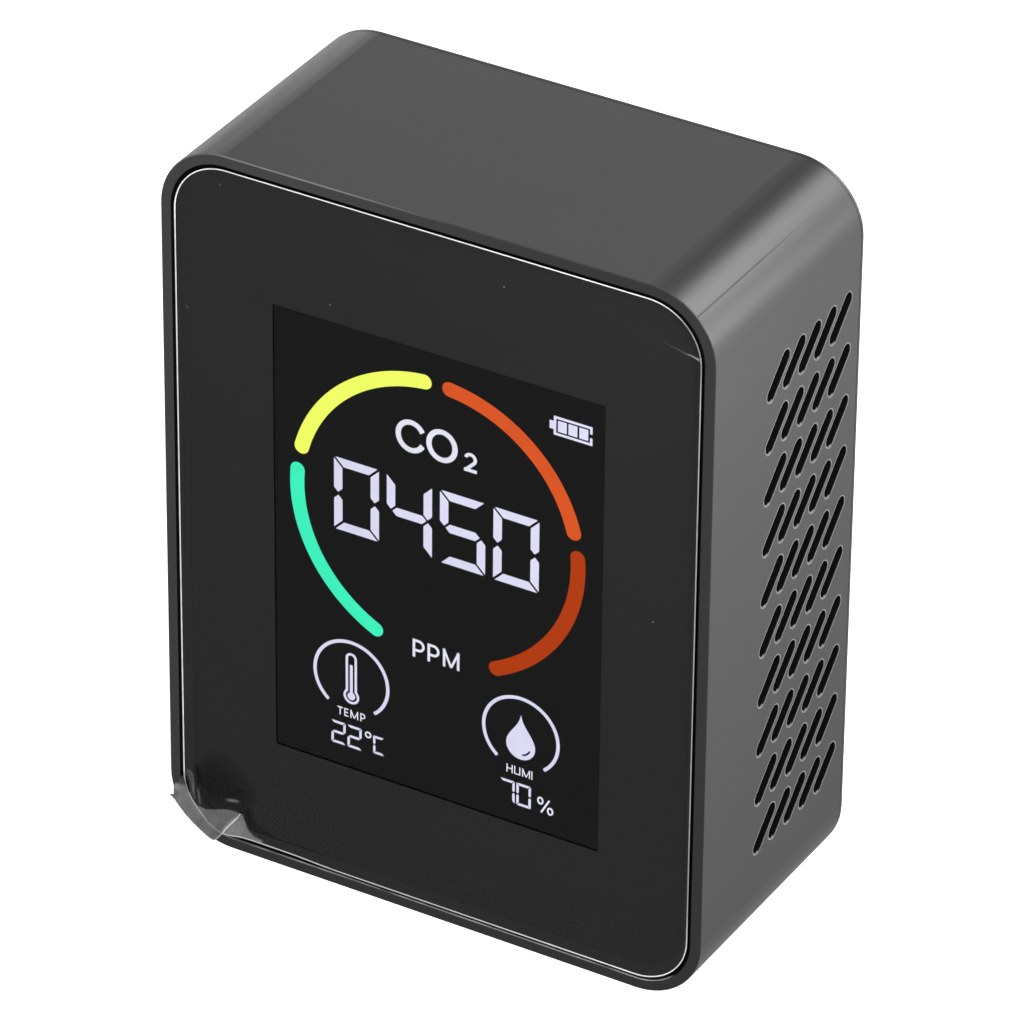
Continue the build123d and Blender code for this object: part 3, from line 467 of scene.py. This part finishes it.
def lens_face():
    """Clear acrylic, a little smeared."""
    shade = Shade("acrylic_face")
    see = shade.add("ShaderNodeBsdfTransparent")
    smear = shade.noise(60.0, 2.0)
    shade.feed(see.inputs[0], shade.ramp(smear, (0.2, grey(0.97)), (0.8, grey(1.0))))
    shade.feed(shade.output.inputs["Surface"], see.outputs[0])
    return shade


def lens_edge():
    """The lens's cut edge: painted black from outside as shade; from within it glows with painted light
    like the printed border.
    """
    shade = Shade("acrylic_edge_shade_and_glow")
    smear = shade.noise(900.0, 3.0)
    shade.set(Base_Color=shade.ramp(smear, (0.2, grey(0.001)), (0.8, grey(0.003))), Roughness=0.6)
    shade.shader.inputs["Specular IOR Level"].default_value = 0.0
    within = shade.add("ShaderNodeEmission")
    shade.feed(within.inputs[0], shade.ramp(smear, (0.2, grey(0.95)), (0.8, grey(1.0))))
    within.inputs[1].default_value = PAINTED_BORDER_GLOW
    both_sides = shade.mix(shade.backfacing(), shade.shader.outputs[0], within.outputs[0])
    shade.feed(shade.output.inputs["Surface"], both_sides)
    return shade


PAINTED_BORDER_GLOW = 0.026                # painted glow: what the printed border would send back
give(printed("ink_black", 0.008, 0.015, 0.33), "lens_mask")
give(printed("panel_glass", 0.001, 0.003, 0.17), "lcd_glass")


def lit(name, colour):
    """A lit segment: coloured light with the faint unevenness of a backlight behind a filter."""
    shade = Shade(name)
    cloud = shade.noise(260.0, 2.0)
    shade.set(
        Base_Color=shade.ramp(cloud, (0.2, tint(colour, 0.5)), (0.8, tint(colour, 0.55))),
        Emission_Color=shade.ramp(cloud, (0.2, tint(colour, 0.93)), (0.8, tint(colour, 1.03))),
        Roughness=shade.spread(cloud, 0.0, 1.0, 0.5, 0.6),
    )
    shade.shader.inputs["Specular IOR Level"].default_value = 0.0
    shade.shader.inputs["Emission Strength"].default_value = 1.0
    return shade


give(lit("lit_white", (0.565, 0.558, 0.705)), "lit_numerals", "lit_icons")
give(lit("lit_labels_white", (0.61, 0.605, 0.695)), "lit_labels")
give(lit("lit_yellow", (0.69, 0.82, 0.105)), "gauge_yellow")
give(lit("lit_orange", (0.53, 0.073, 0.016)), "gauge_orange")
give(lit("lit_red", (0.337, 0.036, 0.0055)), "gauge_red")
give(lit("lit_green", (0.04, 0.695, 0.4)), "gauge_green")


# ---- parts inside ------------------------------------------------------------------------------
def board(name, mask, trace_colour):
    """Circuit board: solder mask over faint copper tracks."""
    shade = Shade(name)
    tracks = shade.add("ShaderNodeTexBrick")
    shade.feed(tracks.inputs["Vector"], shade.place)
    tracks.inputs["Scale"].default_value = 260.0
    tracks.inputs["Mortar Size"].default_value = 0.03
    tracks.inputs["Color1"].default_value = (*mask, 1.0)
    tracks.inputs["Color2"].default_value = (*tint(mask, 0.85), 1.0)
    tracks.inputs["Mortar"].default_value = (*trace_colour, 1.0)
    cloud = shade.noise(300.0, 3.0)
    shade.set(
        Base_Color=shade.blend(shade.spread(cloud, 0.3, 0.7, 0.2, 0.6), tracks.outputs["Color"], mask),
        Roughness=shade.spread(cloud, 0.2, 0.8, 0.28, 0.4),
        Normal=shade.bump(tracks.outputs["Fac"], 0.02 * MM, 0.4),
    )
    return shade


def component_mixed():
    """Small parts on the board: brown, black and silver by place."""
    shade = Shade("component_mixed")
    cells = shade.add("ShaderNodeTexVoronoi")
    shade.feed(cells.inputs["Vector"], shade.place)
    cells.inputs["Scale"].default_value = 320.0
    part = shade.add("ShaderNodeSeparateColor")
    shade.feed(part.inputs[0], cells.outputs["Color"])
    shade.set(
        Base_Color=shade.ramp(part.outputs[0], (0.2, (0.02, 0.02, 0.022)), (0.5, (0.28, 0.19, 0.11)),
                              (0.85, (0.5, 0.5, 0.52))),
        Roughness=shade.spread(part.outputs[1], 0.0, 1.0, 0.3, 0.5),
    )
    return shade


screw_steel = metal("screw_steel", (0.5, 0.5, 0.51), 0.26)
give(screw_steel, "case_screws", "retainer_screws", "board_screws")
give(plastic("adhesive_black", grey(0.012), 0.75, 2500.0, 0.02), "lens_adhesive")
give(metal("tray_steel", (0.58, 0.58, 0.6), 0.33), "lcd_frame")
give(metal("shell_steel", (0.66, 0.66, 0.68), 0.22), "usb_socket")
give(metal("pin_brass", (0.8, 0.6, 0.25), 0.25), "sensor_header_pins")
give(plastic("guide_white", grey(0.75), 0.4), "lcd_backlight")
give(plastic("retainer_abs", grey(0.025), 0.5), "lcd_retainer")
give(plastic("flex_amber", (0.42, 0.19, 0.04), 0.3), "lcd_flex")
give(board("board_green", (0.012, 0.09, 0.035), (0.05, 0.2, 0.08)), "main_board")
give(board("sensor_board_black", grey(0.012), grey(0.03)), "co2_sensor_board")
give(plastic("chip_black", grey(0.016), 0.55, 7000.0), "controller_chip", "temp_humidity_sensor")
give(component_mixed(), "small_components")
give(plastic("connector_ivory", (0.72, 0.68, 0.56), 0.45), "flex_connector", "battery_socket",
     "battery_plug")
give(plastic("sensor_black", grey(0.02), 0.42), "co2_chamber")
give(plastic("sensor_white", grey(0.8), 0.9, 3000.0, 0.03), "co2_filters")
give(plastic("connector_black", grey(0.018), 0.4), "sensor_header_strips", "usb_contacts")
give(metal("battery_foil", (0.62, 0.63, 0.65), 0.32, (1.0, 1.0, 1.0), 260.0), "battery_cell")
give(plastic("foam_tape", grey(0.1), 0.9, 1500.0, 0.05), "battery_tape")
give(plastic("lead_red", (0.5, 0.012, 0.012), 0.4), "battery_lead_red")
give(plastic("lead_black", grey(0.014), 0.4), "battery_lead_black")
give(plastic("switch_black", grey(0.015), 0.4), "tact_switch", "switch_plunger")


# ---- protective film and its pull tab ------------------------------------------------------------
# A point that stands proud of the front by a millimetre seems to lie this far left and down of
# its place, in millimetres, as one looks at the front from the camera's side.
SEEN_SHIFT = Vector((-0.577, -0.722))
FILM_EDGE = 0.12                 # width of the bright cut edge, in millimetres


def near_line(point, line):
    """Distance from a point to a polyline, and how far along it the nearest place is (0 to 1)."""
    best, place = 1e9, 0.0
    lengths = [(b - a).length for a, b in zip(line, line[1:])]
    done = 0.0
    for a, b, length in zip(line, line[1:], lengths):
        share = max(0.0, min(1.0, (point - a).dot(b - a) / (length * length)))
        gap = (point - a - share * (b - a)).length
        if gap < best:
            best, place = gap, (done + share * length) / sum(lengths)
        done += length
    return best, place


def line_of(*pairs):
    return [Vector(pair) for pair in pairs]


def smooth(low, high, value):
    share = max(0.0, min(1.0, (value - low) / (high - low)))
    return share * share * (3 - 2 * share)


def inside_polygon(point, polygon):
    found = False
    for a, b in zip(polygon, polygon[1:] + polygon[:1]):
        if (a.y > point.y) != (b.y > point.y):
            if point.x < a.x + (point.y - a.y) * (b.x - a.x) / (b.y - a.y):
                found = not found
    return found


CORNER_STEPS = 16


def rounded(width, height, radius, middle, inset=0.0):
    """A rounded rectangle's corner points, anticlockwise, seen from the front."""
    points = []
    radius -= inset
    for index, (side, end) in enumerate(((1, 1), (-1, 1), (-1, -1), (1, -1))):
        centre = Vector((side * (width / 2 - inset - radius),
                         middle + end * (height / 2 - inset - radius)))
        for step in range(CORNER_STEPS + 1):
            turn = math.radians(90 * index + 90 * step / CORNER_STEPS)
            points.append(centre + radius * Vector((math.cos(turn), math.sin(turn))))
    return points


def divided(loop, gap):
    """A closed loop with points added so that none are further apart than gap."""
    points = []
    for a, b in zip(loop, loop[1:] + loop[:1]):
        count = max(1, math.ceil((b - a).length / gap))
        points.extend(a + (b - a) * step / count for step in range(count))
    return points


def sheet_mesh(name, loops, points, place, thick, facts, edge_of):
    """A thin solid sheet: flat points meshed inside the first loop, then set in space by place.

    facts are named numbers per point; edge_of says whether a face belongs to the cut edge.
    """
    flat, edges = [], []
    for loop in loops:
        first = len(flat)
        flat.extend(loop)
        count = len(loop)
        edges.extend((first + step, first + (step + 1) % count) for step in range(count))
    flat.extend(points)
    inside_loops = 1             # keep the triangles within the outermost loop
    flat_out, _, faces, _, _, _ = delaunay_2d_cdt(flat, edges, [], inside_loops, 1e-6)
    front = [place(point) for point in flat_out]
    back = [spot + Vector((0.0, thick, 0.0)) for spot in front]
    count = len(front)
    solid, marks = [], []
    seen = {}
    for face in faces:
        a, b, c = (flat_out[corner] for corner in face[:3])
        face = tuple(reversed(face) if (b - a).cross(c - a) < 0 else face)
        centre = sum((flat_out[corner] for corner in face), Vector((0, 0))) / len(face)
        mark = int(edge_of(centre))
        solid.append(face)
        marks.append(mark)
        solid.append(tuple(corner + count for corner in reversed(face)))
        marks.append(mark)
        for here, there in zip(face, face[1:] + face[:1]):
            seen[(here, there)] = True
    for here, there in seen:
        if (there, here) not in seen:
            solid.append((there, here, here + count, there + count))
            marks.append(1)
    mesh = bpy.data.meshes.new(name)
    mesh.from_pydata([spot * MM for spot in front + back], [], solid)
    mesh.polygons.foreach_set("material_index", marks)
    mesh.polygons.foreach_set("use_smooth", [True] * len(solid))
    for fact, value_of in facts.items():
        values = [value_of(point) for point in flat_out]
        mesh.attributes.new(fact, "FLOAT", "POINT").data.foreach_set("value", values + values)
    mesh.update()
    return placed(name, mesh)


lens_low, lens_high = (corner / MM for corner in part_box("front_lens"))
LENS_GAP = 0.02                  # air on both sides of the lens, so that no two faces coincide
LENS_CORNER = 6.5
LENS_CHAMFER = 0.1
LENS_GROWTH = 0.1                # wider than the CAD lens by this, to close its gap to the recess
LENS_MARGIN = 0.8


def make_lens():
    """The clear lens, with a chamfered front edge.

    From within, its edges and a margin of its rear glow with painted light like the print that they
    border on.
    """
    width = lens_high.x - lens_low.x + LENS_GROWTH
    height = lens_high.z - lens_low.z + LENS_GROWTH
    middle = (lens_low.z + lens_high.z) / 2
    front, rear = lens_low.y, lens_high.y - LENS_GAP
    rings = ((LENS_CHAMFER, front), (0.0, front + LENS_CHAMFER), (0.0, rear), (LENS_MARGIN, rear))
    points, faces, marks = [], [], []
    for inset, depth in rings:
        loop = rounded(width, height, LENS_CORNER, middle, inset)
        count = len(loop)
        points.extend(Vector((spot.x, depth, spot.y)) * MM for spot in loop)
    faces.append(tuple(range(count)))
    faces.append(tuple(reversed(range(len(points) - count, len(points)))))
    marks += [0, 0]
    for ring in range(len(rings) - 1):
        for step in range(count):
            here, there = ring * count + step, ring * count + (step + 1) % count
            faces.append((there, here, here + count, there + count))
            marks.append(1)
    mesh = bpy.data.meshes.new("clear_lens")
    mesh.from_pydata(points, [], faces)
    mesh.polygons.foreach_set("material_index", marks)
    mesh.materials.append(lens_face().material)
    mesh.materials.append(lens_edge().material)
    lens = placed("clear_lens", mesh)
    lens.visible_glossy = False  # its edges don't cut off what the print mirrors
    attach(lens, "case")
    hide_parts("front_lens")


film_low, film_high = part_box("screen_film")
FILM_GROWTH = 0.16               # wider than the CAD film by this, almost to the recess's wall
FILM_W = (film_high.x - film_low.x) / MM + FILM_GROWTH
FILM_H = (film_high.z - film_low.z) / MM + FILM_GROWTH
FILM_FRONT = film_low.y / MM
FILM_THICK = (film_high.y - film_low.y) / MM - LENS_GAP
FILM_MIDDLE = (film_low.z + film_high.z) / 2 / MM
FILM_CORNER = 6.5

# the lifted corner, in millimetres across the front: where the film lets go, its crease, the tab
BUBBLE = line_of((-30.9, 6.2), (-31.0, 8.0), (-31.0, 9.3), (-30.2, 10.4), (-29.2, 11.0), (-27.8, 10.8),
                 (-26.2, 9.9), (-24.9, 8.9), (-24.0, 7.9), (-23.5, 7.0), (-23.9, 5.9), (-24.5, 5.2),
                 (-26.0, 5.15), (-28.0, 4.55), (-29.8, 4.1), (-30.3, 4.4))
POCKET = line_of((-31.95, 7.9), (-31.65, 8.0), (-31.4, 7.3), (-31.25, 6.3), (-31.3, 5.8), (-31.6, 6.0),
                 (-31.9, 7.0))
FOLD = line_of((-33.7, 6.1), (-33.45, 6.25), (-32.95, 6.5), (-32.85, 7.2), (-32.4, 7.6), (-32.15, 7.0),
               (-31.75, 5.8), (-31.2, 4.9), (-30.55, 4.2), (-29.5, 4.05), (-28.5, 4.35), (-27.5, 4.75),
               (-26.5, 5.02), (-25.6, 5.12), (-24.75, 5.05))
CREASE = line_of((-24.75, 4.95), (-25.35, 4.12), (-26.0, 3.28), (-26.6, 2.48), (-27.15, 1.65),
                 (-27.6, 1.02), (-28.1, 0.42))
TAB_OUTER = line_of((-28.5, 0.3), (-29.2, 0.55), (-30.0, 1.02), (-31.0, 1.64), (-32.0, 2.42),
                    (-32.9, 3.32), (-33.45, 3.98), (-34.15, 4.5), (-33.62, 4.62), (-33.62, 5.5))
FLAP = line_of((-24.6, 5.0), (-24.3, 4.2), (-24.05, 3.5), (-23.7, 2.8), (-23.0, 2.35), (-21.9, 2.15),
               (-22.5, 1.6), (-27.3, 1.4), (-27.1, 2.3), (-26.0, 3.9))
# the glints on the lifted film are painted highlights, drawn as milky haze
PAINTED_GLINTS = (                       # line, half width, haze
    (line_of((-26.5, 6.45), (-25.8, 6.6), (-25.0, 6.75)), 0.3, 0.22),
    (line_of((-30.3, 6.6), (-30.2, 5.6), (-30.1, 4.5)), 0.26, 0.22),
    (line_of((-31.95, 8.35), (-31.5, 8.5), (-31.1, 8.15), (-31.0, 7.1), (-31.0, 6.0),
             (-30.9, 5.0)), 0.2, 0.2),
)
SCRATCH = line_of((30.35, 82.0), (31.1, 81.95), (31.85, 81.75))
SPECKS = line_of((-26.5, 85.4), (-12.75, 74.75), (-30.9, 69.0), (27.2, 47.9), (8.6, 83.4))


def depth_in(point, polygon):
    """Distance from a polygon's outline, inwards."""
    distance, _ = near_line(point, polygon + polygon[:1])
    return distance if inside_polygon(point, polygon) else -distance


BUBBLE_SHARE = 0.6


def gap_share(point):
    """How dark the air gap under a point is: 1 in the pocket, less in the bubble beside it."""
    bubble = BUBBLE_SHARE * smooth(-0.3, 0.8, depth_in(point, BUBBLE))
    return max(bubble, smooth(-0.15, 0.1, depth_in(point, POCKET)))


# how far the film stands off the lens in its bubble and at its edge, and how far it has crept up
BUBBLE_LIFT, EDGE_LIFT, CREEP = 0.3, 0.45, 0.2


def corner_lift(point):
    """How far the film stands off the lens, in millimetres."""
    along = smooth(-22.0, -26.5, point.x) * smooth(9.5, 7.0, point.y)
    edge = smooth(3.4, 0.0, (point - Vector((-27.6, 1.9))).length)
    return max(BUBBLE_LIFT * gap_share(point), EDGE_LIFT * edge * along)


def film_place(point):
    """The film's lower edge has crept up a little beside the lifted corner."""
    creep = CREEP * smooth(-27.0, -23.5, point.x) * smooth(-12.0, -19.0, point.x)
    creep *= smooth(4.5, 2.0, point.y)
    return Vector((point.x, FILM_FRONT - corner_lift(point), point.y + creep))


def film_haze(point):
    """Share of milky white: low on the film, higher on the flap, scratch and specks, and on the glints,
    which are painted highlights.
    """
    haze = 0.0
    for line, half, amount in PAINTED_GLINTS:
        distance, place = near_line(point, line)
        fade = math.sin(math.pi * (0.15 + 0.7 * place))
        haze = max(haze, amount * smooth(half, 0.25 * half, distance) * fade)
    if point.x < -21 and point.y < 6:
        haze = max(haze, 0.26 * smooth(-0.2, 0.1, depth_in(point, FLAP)))
    if point.x < -30 and 3.5 < point.y < 8.8:
        margin = smooth(-30.9, -31.3, point.x) * smooth(8.8, 8.0, point.y)
        haze = max(haze, 0.07 * margin * (1 - gap_share(point)))
    if point.x > 29:
        distance, place = near_line(point, SCRATCH)
        haze = max(haze, (0.05 + 0.25 * place) * smooth(0.14, 0.05, distance))
    for speck in SPECKS:
        haze = max(haze, 0.2 * smooth(0.14, 0.04, (point - speck).length))
    return haze


def outline_gap(point):
    """Distance from the film's outline, inwards."""
    across = Vector((abs(point.x) - FILM_W / 2 + FILM_CORNER,
                     abs(point.y - FILM_MIDDLE) - FILM_H / 2 + FILM_CORNER))
    out = Vector((max(across.x, 0.0), max(across.y, 0.0))).length
    return FILM_CORNER - out - min(max(across.x, across.y), 0.0)


def grid(x_low, x_high, z_low, z_high, step):
    """Points step apart over an area, every second column shifted by half a step."""
    columns = int((x_high - x_low) / step) + 1
    rows = int((z_high - z_low) / step) + 1
    return [Vector((x_low + column * step, z_low + (row + 0.5 * (column % 2)) * step))
            for column in range(columns) for row in range(rows)]


SCRATCH_STEPS = 13               # points along each of its two stretches


def film_points():
    """Inner points of the film: dense at the lifted corner, rings round the scratch and specks."""
    points = [p for p in grid(-32.1, -21.6, 1.9, 12.0, 0.13) if outline_gap(p) > FILM_EDGE + 0.05]
    points += grid(-28.0, 28.0, 14.0, 80.0, 6.0)
    for a, b in zip(SCRATCH, SCRATCH[1:]):
        for step in range(SCRATCH_STEPS):
            spot = a + (b - a) * step / SCRATCH_STEPS
            points += [spot + Vector((0.0, off)) for off in (-0.16, -0.08, 0.0, 0.08, 0.16)]
    for speck in SPECKS:
        points.append(speck)
        for radius in (0.06, 0.15):
            points += [speck + radius * Vector((math.cos(turn), math.sin(turn)))
                       for turn in (math.radians(60 * step) for step in range(6))]
    return [p for p in points if outline_gap(p) > FILM_EDGE + 0.02]


PAINTED_GLOW_TONE = 0.88                 # milk paler than this glows with painted light, as the crease does
BUBBLE_SHADE, POCKET_SHADE = grey(0.855), grey(0.6)


def film_sheet(name, gloss):
    """Clear film: it shows what lies under it, milky where haze is stored, dark over a gap, and glowing
    with painted light where its milk is palest.
    """
    shade = Shade(name)
    see = shade.add("ShaderNodeBsdfTransparent")
    haze = shade.attribute("haze")
    gap = shade.attribute("gap")
    cloud = shade.noise(700.0, 4.0, 0.6)
    tone = shade.attribute("tone")
    # painted light: the palest milk, on the crease, glows
    shade.set(Base_Color=shade.ramp(tone, (0.0, grey(0.0)), (1.0, grey(1.0))),
              Emission_Color=shade.ramp(tone, (PAINTED_GLOW_TONE, grey(0.0)), (1.0, grey(0.45))),
              Roughness=shade.spread(cloud, 0.2, 0.8, 0.3, 0.4))
    shade.shader.inputs["Emission Strength"].default_value = 1.0
    shade.feed(see.inputs[0], shade.ramp(gap, (0.0, grey(1.0)), (BUBBLE_SHARE, BUBBLE_SHADE),
                                          (1.0, POCKET_SHADE)))
    mottle = shade.math("MULTIPLY", shade.spread(cloud, 0.3, 0.7, 0.85, 1.15),
                        shade.spread(shade.noise(3000.0, 2.0), 0.35, 0.65, 0.94, 1.06))
    share = shade.math("MULTIPLY", haze, mottle, clamp=True)
    gloss_over(shade, shade.mix(share, see.outputs[0], shade.shader.outputs[0]), gloss)
    return shade


def cut_edge(name, bright, dim, glow):
    """The film's cut edge, which glows white with painted light, brighter or dimmer by place and less
    so on the right.
    """
    shade = Shade(name)
    x, _, z = shade.axes()
    cloud = shade.noise(500.0, 4.0, 0.7)
    # painted light: the edge's glow is set by place
    right = shade.math("MULTIPLY", shade.spread(x, 27.5, 30.5), shade.spread(z, 3.0, 12.0))
    level = shade.spread(right, 0.0, 1.0, bright, dim)
    tab = shade.math("MULTIPLY", shade.spread(x, -27.0, -27.6), shade.spread(z, 8.8, 7.8))
    level = shade.math("MULTIPLY", level, shade.spread(tab, 0.0, 1.0, 1.0, 0.6))
    low = shade.math("MULTIPLY", shade.spread(z, 3.2, 2.6), shade.spread(x, 24.0, 4.0))
    level = shade.math("MULTIPLY", level, shade.spread(low, 0.0, 1.0, 1.0, 0.65))
    high = shade.spread(z, 78.0, 80.0)
    upper_left = shade.math("MULTIPLY", high, shade.spread(x, -27.0, -29.0))
    level = shade.math("MULTIPLY", level, shade.spread(upper_left, 0.0, 1.0, 1.0, 1.35))
    upper_right = shade.math("MULTIPLY", high, shade.spread(x, 24.0, 28.0))
    level = shade.math("MULTIPLY", level, shade.spread(upper_right, 0.0, 1.0, 1.0, 0.75))
    level = shade.math("MULTIPLY", level, shade.spread(cloud, 0.25, 0.75, 0.8, 1.15))
    colour = shade.ramp(level, (0.0, grey(0.0)), (1.0, grey(1.0)))
    shade.set(Base_Color=colour, Roughness=0.3, Emission_Color=colour)
    shade.shader.inputs["Specular IOR Level"].default_value = 0.3
    shade.shader.inputs["Emission Strength"].default_value = glow
    return shade


MILK = 0.85                      # albedo of the film's and the tab's milky plastic
FILM_OUTLINE_GAP = 1.2
TAB_OUTLINE_GAP = 0.3


def make_film():
    """The film over the whole lens, in place of its flat CAD solid."""
    outline = divided(rounded(FILM_W, FILM_H, FILM_CORNER, FILM_MIDDLE), FILM_OUTLINE_GAP)
    inner = divided(rounded(FILM_W, FILM_H, FILM_CORNER, FILM_MIDDLE, FILM_EDGE), FILM_OUTLINE_GAP)
    film = sheet_mesh("protective_film", [outline, inner], film_points(), film_place, FILM_THICK,
                      {"haze": film_haze, "gap": gap_share, "tone": lambda point: MILK},
                      lambda point: outline_gap(point) < FILM_EDGE - 0.01)
    film.data.materials.append(film_sheet("film_face", 0.05).material)
    film.data.materials.append(cut_edge("film_edge_painted_glow", 0.74, 0.24, 0.55).material)
    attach(film, "case")
    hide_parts("screen_film")


TAB_OUTLINE = FOLD[1:] + CREASE[1:] + TAB_OUTER


def tab_lift(point):
    """How far the tab stands off the front: more towards its outer edge."""
    distance, _ = near_line(point, FOLD)
    return 0.14 + 0.8 * (distance / 3.4) ** 1.2 + 0.05 * math.sin(2.2 * point.x - 1.4 * point.y)


def tab_place(point):
    """The tab seen at point is really up and to the right of it, and forward."""
    lift = tab_lift(point)
    real = point - lift * SEEN_SHIFT
    return Vector((real.x, FILM_FRONT - lift, real.y))


RIM_INNER, RIM_OUTER = (6.1, 6.7), (7.6, 8.0)      # of the rim, as reaches from a corner's centre


def past_rim(point):
    """How far a point seen on the tab lies over the rim (0 to 1) and past it (1 to 2)."""
    across = Vector((abs(point.x) - HALF_WIDTH + CORNER,
                     abs(point.y - HALF_HEIGHT) - HALF_HEIGHT + CORNER))
    reach = Vector((max(across.x, 0.0), max(across.y, 0.0))).length
    return smooth(*RIM_INNER, reach) + smooth(*RIM_OUTER, reach)


def crease_share(point):
    """1 on the crease along the tab's right edge, white and glowing with painted light, widest below
    its middle.
    """
    distance, place = near_line(point, CREASE)
    half = 0.09 + 0.1 * max(0.0, math.sin(math.pi * place)) * smooth(0.1, 0.6, place)
    return smooth(half + 0.06, 0.4 * half, distance)


def tab_haze(point):
    """Milky tape, with a white crease along its right edge; edge-on past the rim it looks solid."""
    past = past_rim(point)
    veil = 0.185 + 0.35 * min(past, 1.0) + 0.44 * max(past - 1.0, 0.0)
    return max(veil, 0.82 * crease_share(point))


def tab_tone(point):
    """Albedo of the tape's milk: greyer where more of it is looked through."""
    past = past_rim(point)
    tone = MILK - 0.5 * min(past, 1.0) - 0.13 * max(past - 1.0, 0.0)
    # painted highlight: a pale spot near the top of the tab's outer band
    tone += 0.4 * smooth(0.8, 0.1, (point - Vector((-33.1, 5.8))).length)
    tone *= 1 - 0.75 * smooth(6.2, 6.6, point.y)
    return max(min(tone, MILK), crease_share(point))


def make_tab():
    """The pull tab, bent over the rim, in place of its plain CAD solid."""
    outline = divided(TAB_OUTLINE, TAB_OUTLINE_GAP)
    points = [p for p in grid(-34.0, -24.6, 0.3, 6.4, 0.16) if depth_in(p, TAB_OUTLINE) > 0.09]
    tab = sheet_mesh("pull_tab", [outline], points, tab_place, FILM_THICK,
                     {"haze": tab_haze, "gap": lambda point: 0.0, "tone": tab_tone},
                     lambda point: False)
    tab.data.materials.append(film_sheet("tab_face", 0.4).material)
    tab.data.materials.append(cut_edge("tab_edge", 0.3, 0.3, 0.0).material)
    tab.visible_glossy = False   # nor does it cut off what the print mirrors
    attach(tab, "case")
    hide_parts("film_pull_tab")


make_lens()
make_film()
make_tab()


# ---- floor and light ------------------------------------------------------------------------
FLOOR_HALF = 3.0


def make_floor():
    """A plain pale floor, lit by itself; mirror images and bounced light leave it out."""
    mesh = bpy.data.meshes.new("floor")
    corners = [(x * FLOOR_HALF, y * FLOOR_HALF, 0) for x, y in ((-1, -1), (1, -1), (1, 1), (-1, 1))]
    mesh.from_pydata(corners, [], [(0, 1, 2, 3)])
    floor = placed("floor", mesh)
    shade = Shade("floor_white")
    cloud = shade.noise(3.0, 3.0)
    shade.set(Base_Color=shade.ramp(cloud, (0.0, grey(0.8)), (1.0, grey(0.84))), Roughness=0.9,
              Emission_Color=grey(1.0))
    shade.shader.inputs["Emission Strength"].default_value = 1.0
    shade.shader.inputs["Specular IOR Level"].default_value = 0.1
    mesh.materials.append(shade.material)
    floor.visible_glossy = False
    floor.visible_diffuse = False


OBJECT_MIDDLE = Vector((0.0, 0.0, 45.0)) * MM


def softbox(name, elevation, azimuth, distance, size, power, mirrored):
    """A square soft light aimed at the object. Azimuth 0 is in front and 90 to the right.

    A light that isn't mirrored only fills in: no gloss shows it.
    """
    data = bpy.data.lights.new(name, "AREA")
    data.shape = "SQUARE"
    data.size = size
    data.energy = power
    light = placed(name, data)
    a, e = math.radians(azimuth), math.radians(elevation)
    towards = Vector((math.sin(a) * math.cos(e), -math.cos(a) * math.cos(e), math.sin(e)))
    light.location = OBJECT_MIDDLE + distance * towards
    light.rotation_euler = (-towards).to_track_quat("-Z", "Y").to_euler()
    light.visible_camera = False
    light.visible_glossy = mirrored


SOFTBOXES = (                    # elevation, azimuth, distance and size in metres, power in watts
    ("light_left_back", 14, 210, 0.9, 0.36, 0.85, True),
    ("light_left", 2, 229, 0.9, 0.36, 0.33, True),
    ("light_back", 34, 152, 0.9, 0.44, 3.5, True),
    ("light_right_back", 12, 122, 0.9, 0.4, 4.7, True),
    ("fill_near_right", 30, 60, 0.16, 0.08, 0.13, False),
    ("fill_near_high", 50, 60, 0.16, 0.08, 0.031, False),
    ("fill_mid_right_front", 10, 45, 0.32, 0.16, 0.087, False),
    ("fill_mid_right", 10, 90, 0.32, 0.16, 0.533, False),
    ("fill_mid_high", 40, 45, 0.32, 0.16, 0.2, False),
)
WORLD_ABOVE = 0.1                # brightness of the room above and below the horizon
WORLD_BELOW = 0.56
HORIZON = 0.02                   # half height of the soft step between them


def make_light():
    """Soft lights, and a room that lights mostly from below the horizon and looks white itself."""
    for row in SOFTBOXES:
        softbox(*row)
    world = bpy.data.worlds.new("world")
    world.use_nodes = True
    tree = world.node_tree
    place = tree.nodes.new("ShaderNodeTexCoord")
    part = tree.nodes.new("ShaderNodeSeparateXYZ")
    tree.links.new(place.outputs["Generated"], part.inputs[0])
    level = tree.nodes.new("ShaderNodeMapRange")
    for socket, number in zip(level.inputs[1:5], (-HORIZON, HORIZON, WORLD_BELOW, WORLD_ABOVE)):
        socket.default_value = number
    tree.links.new(part.outputs[2], level.inputs[0])
    paths = tree.nodes.new("ShaderNodeLightPath")
    pick = tree.nodes.new("ShaderNodeMapRange")
    tree.links.new(paths.outputs["Is Camera Ray"], pick.inputs[0])
    tree.links.new(level.outputs[0], pick.inputs[3])
    pick.inputs[4].default_value = 1.0
    tree.nodes["Background"].inputs[0].default_value = (1.0, 1.0, 1.0, 1.0)
    tree.links.new(pick.outputs[0], tree.nodes["Background"].inputs[1])
    bpy.context.scene.world = world


make_floor()
make_light()
bpy.context.scene.view_settings.view_transform = "Standard"
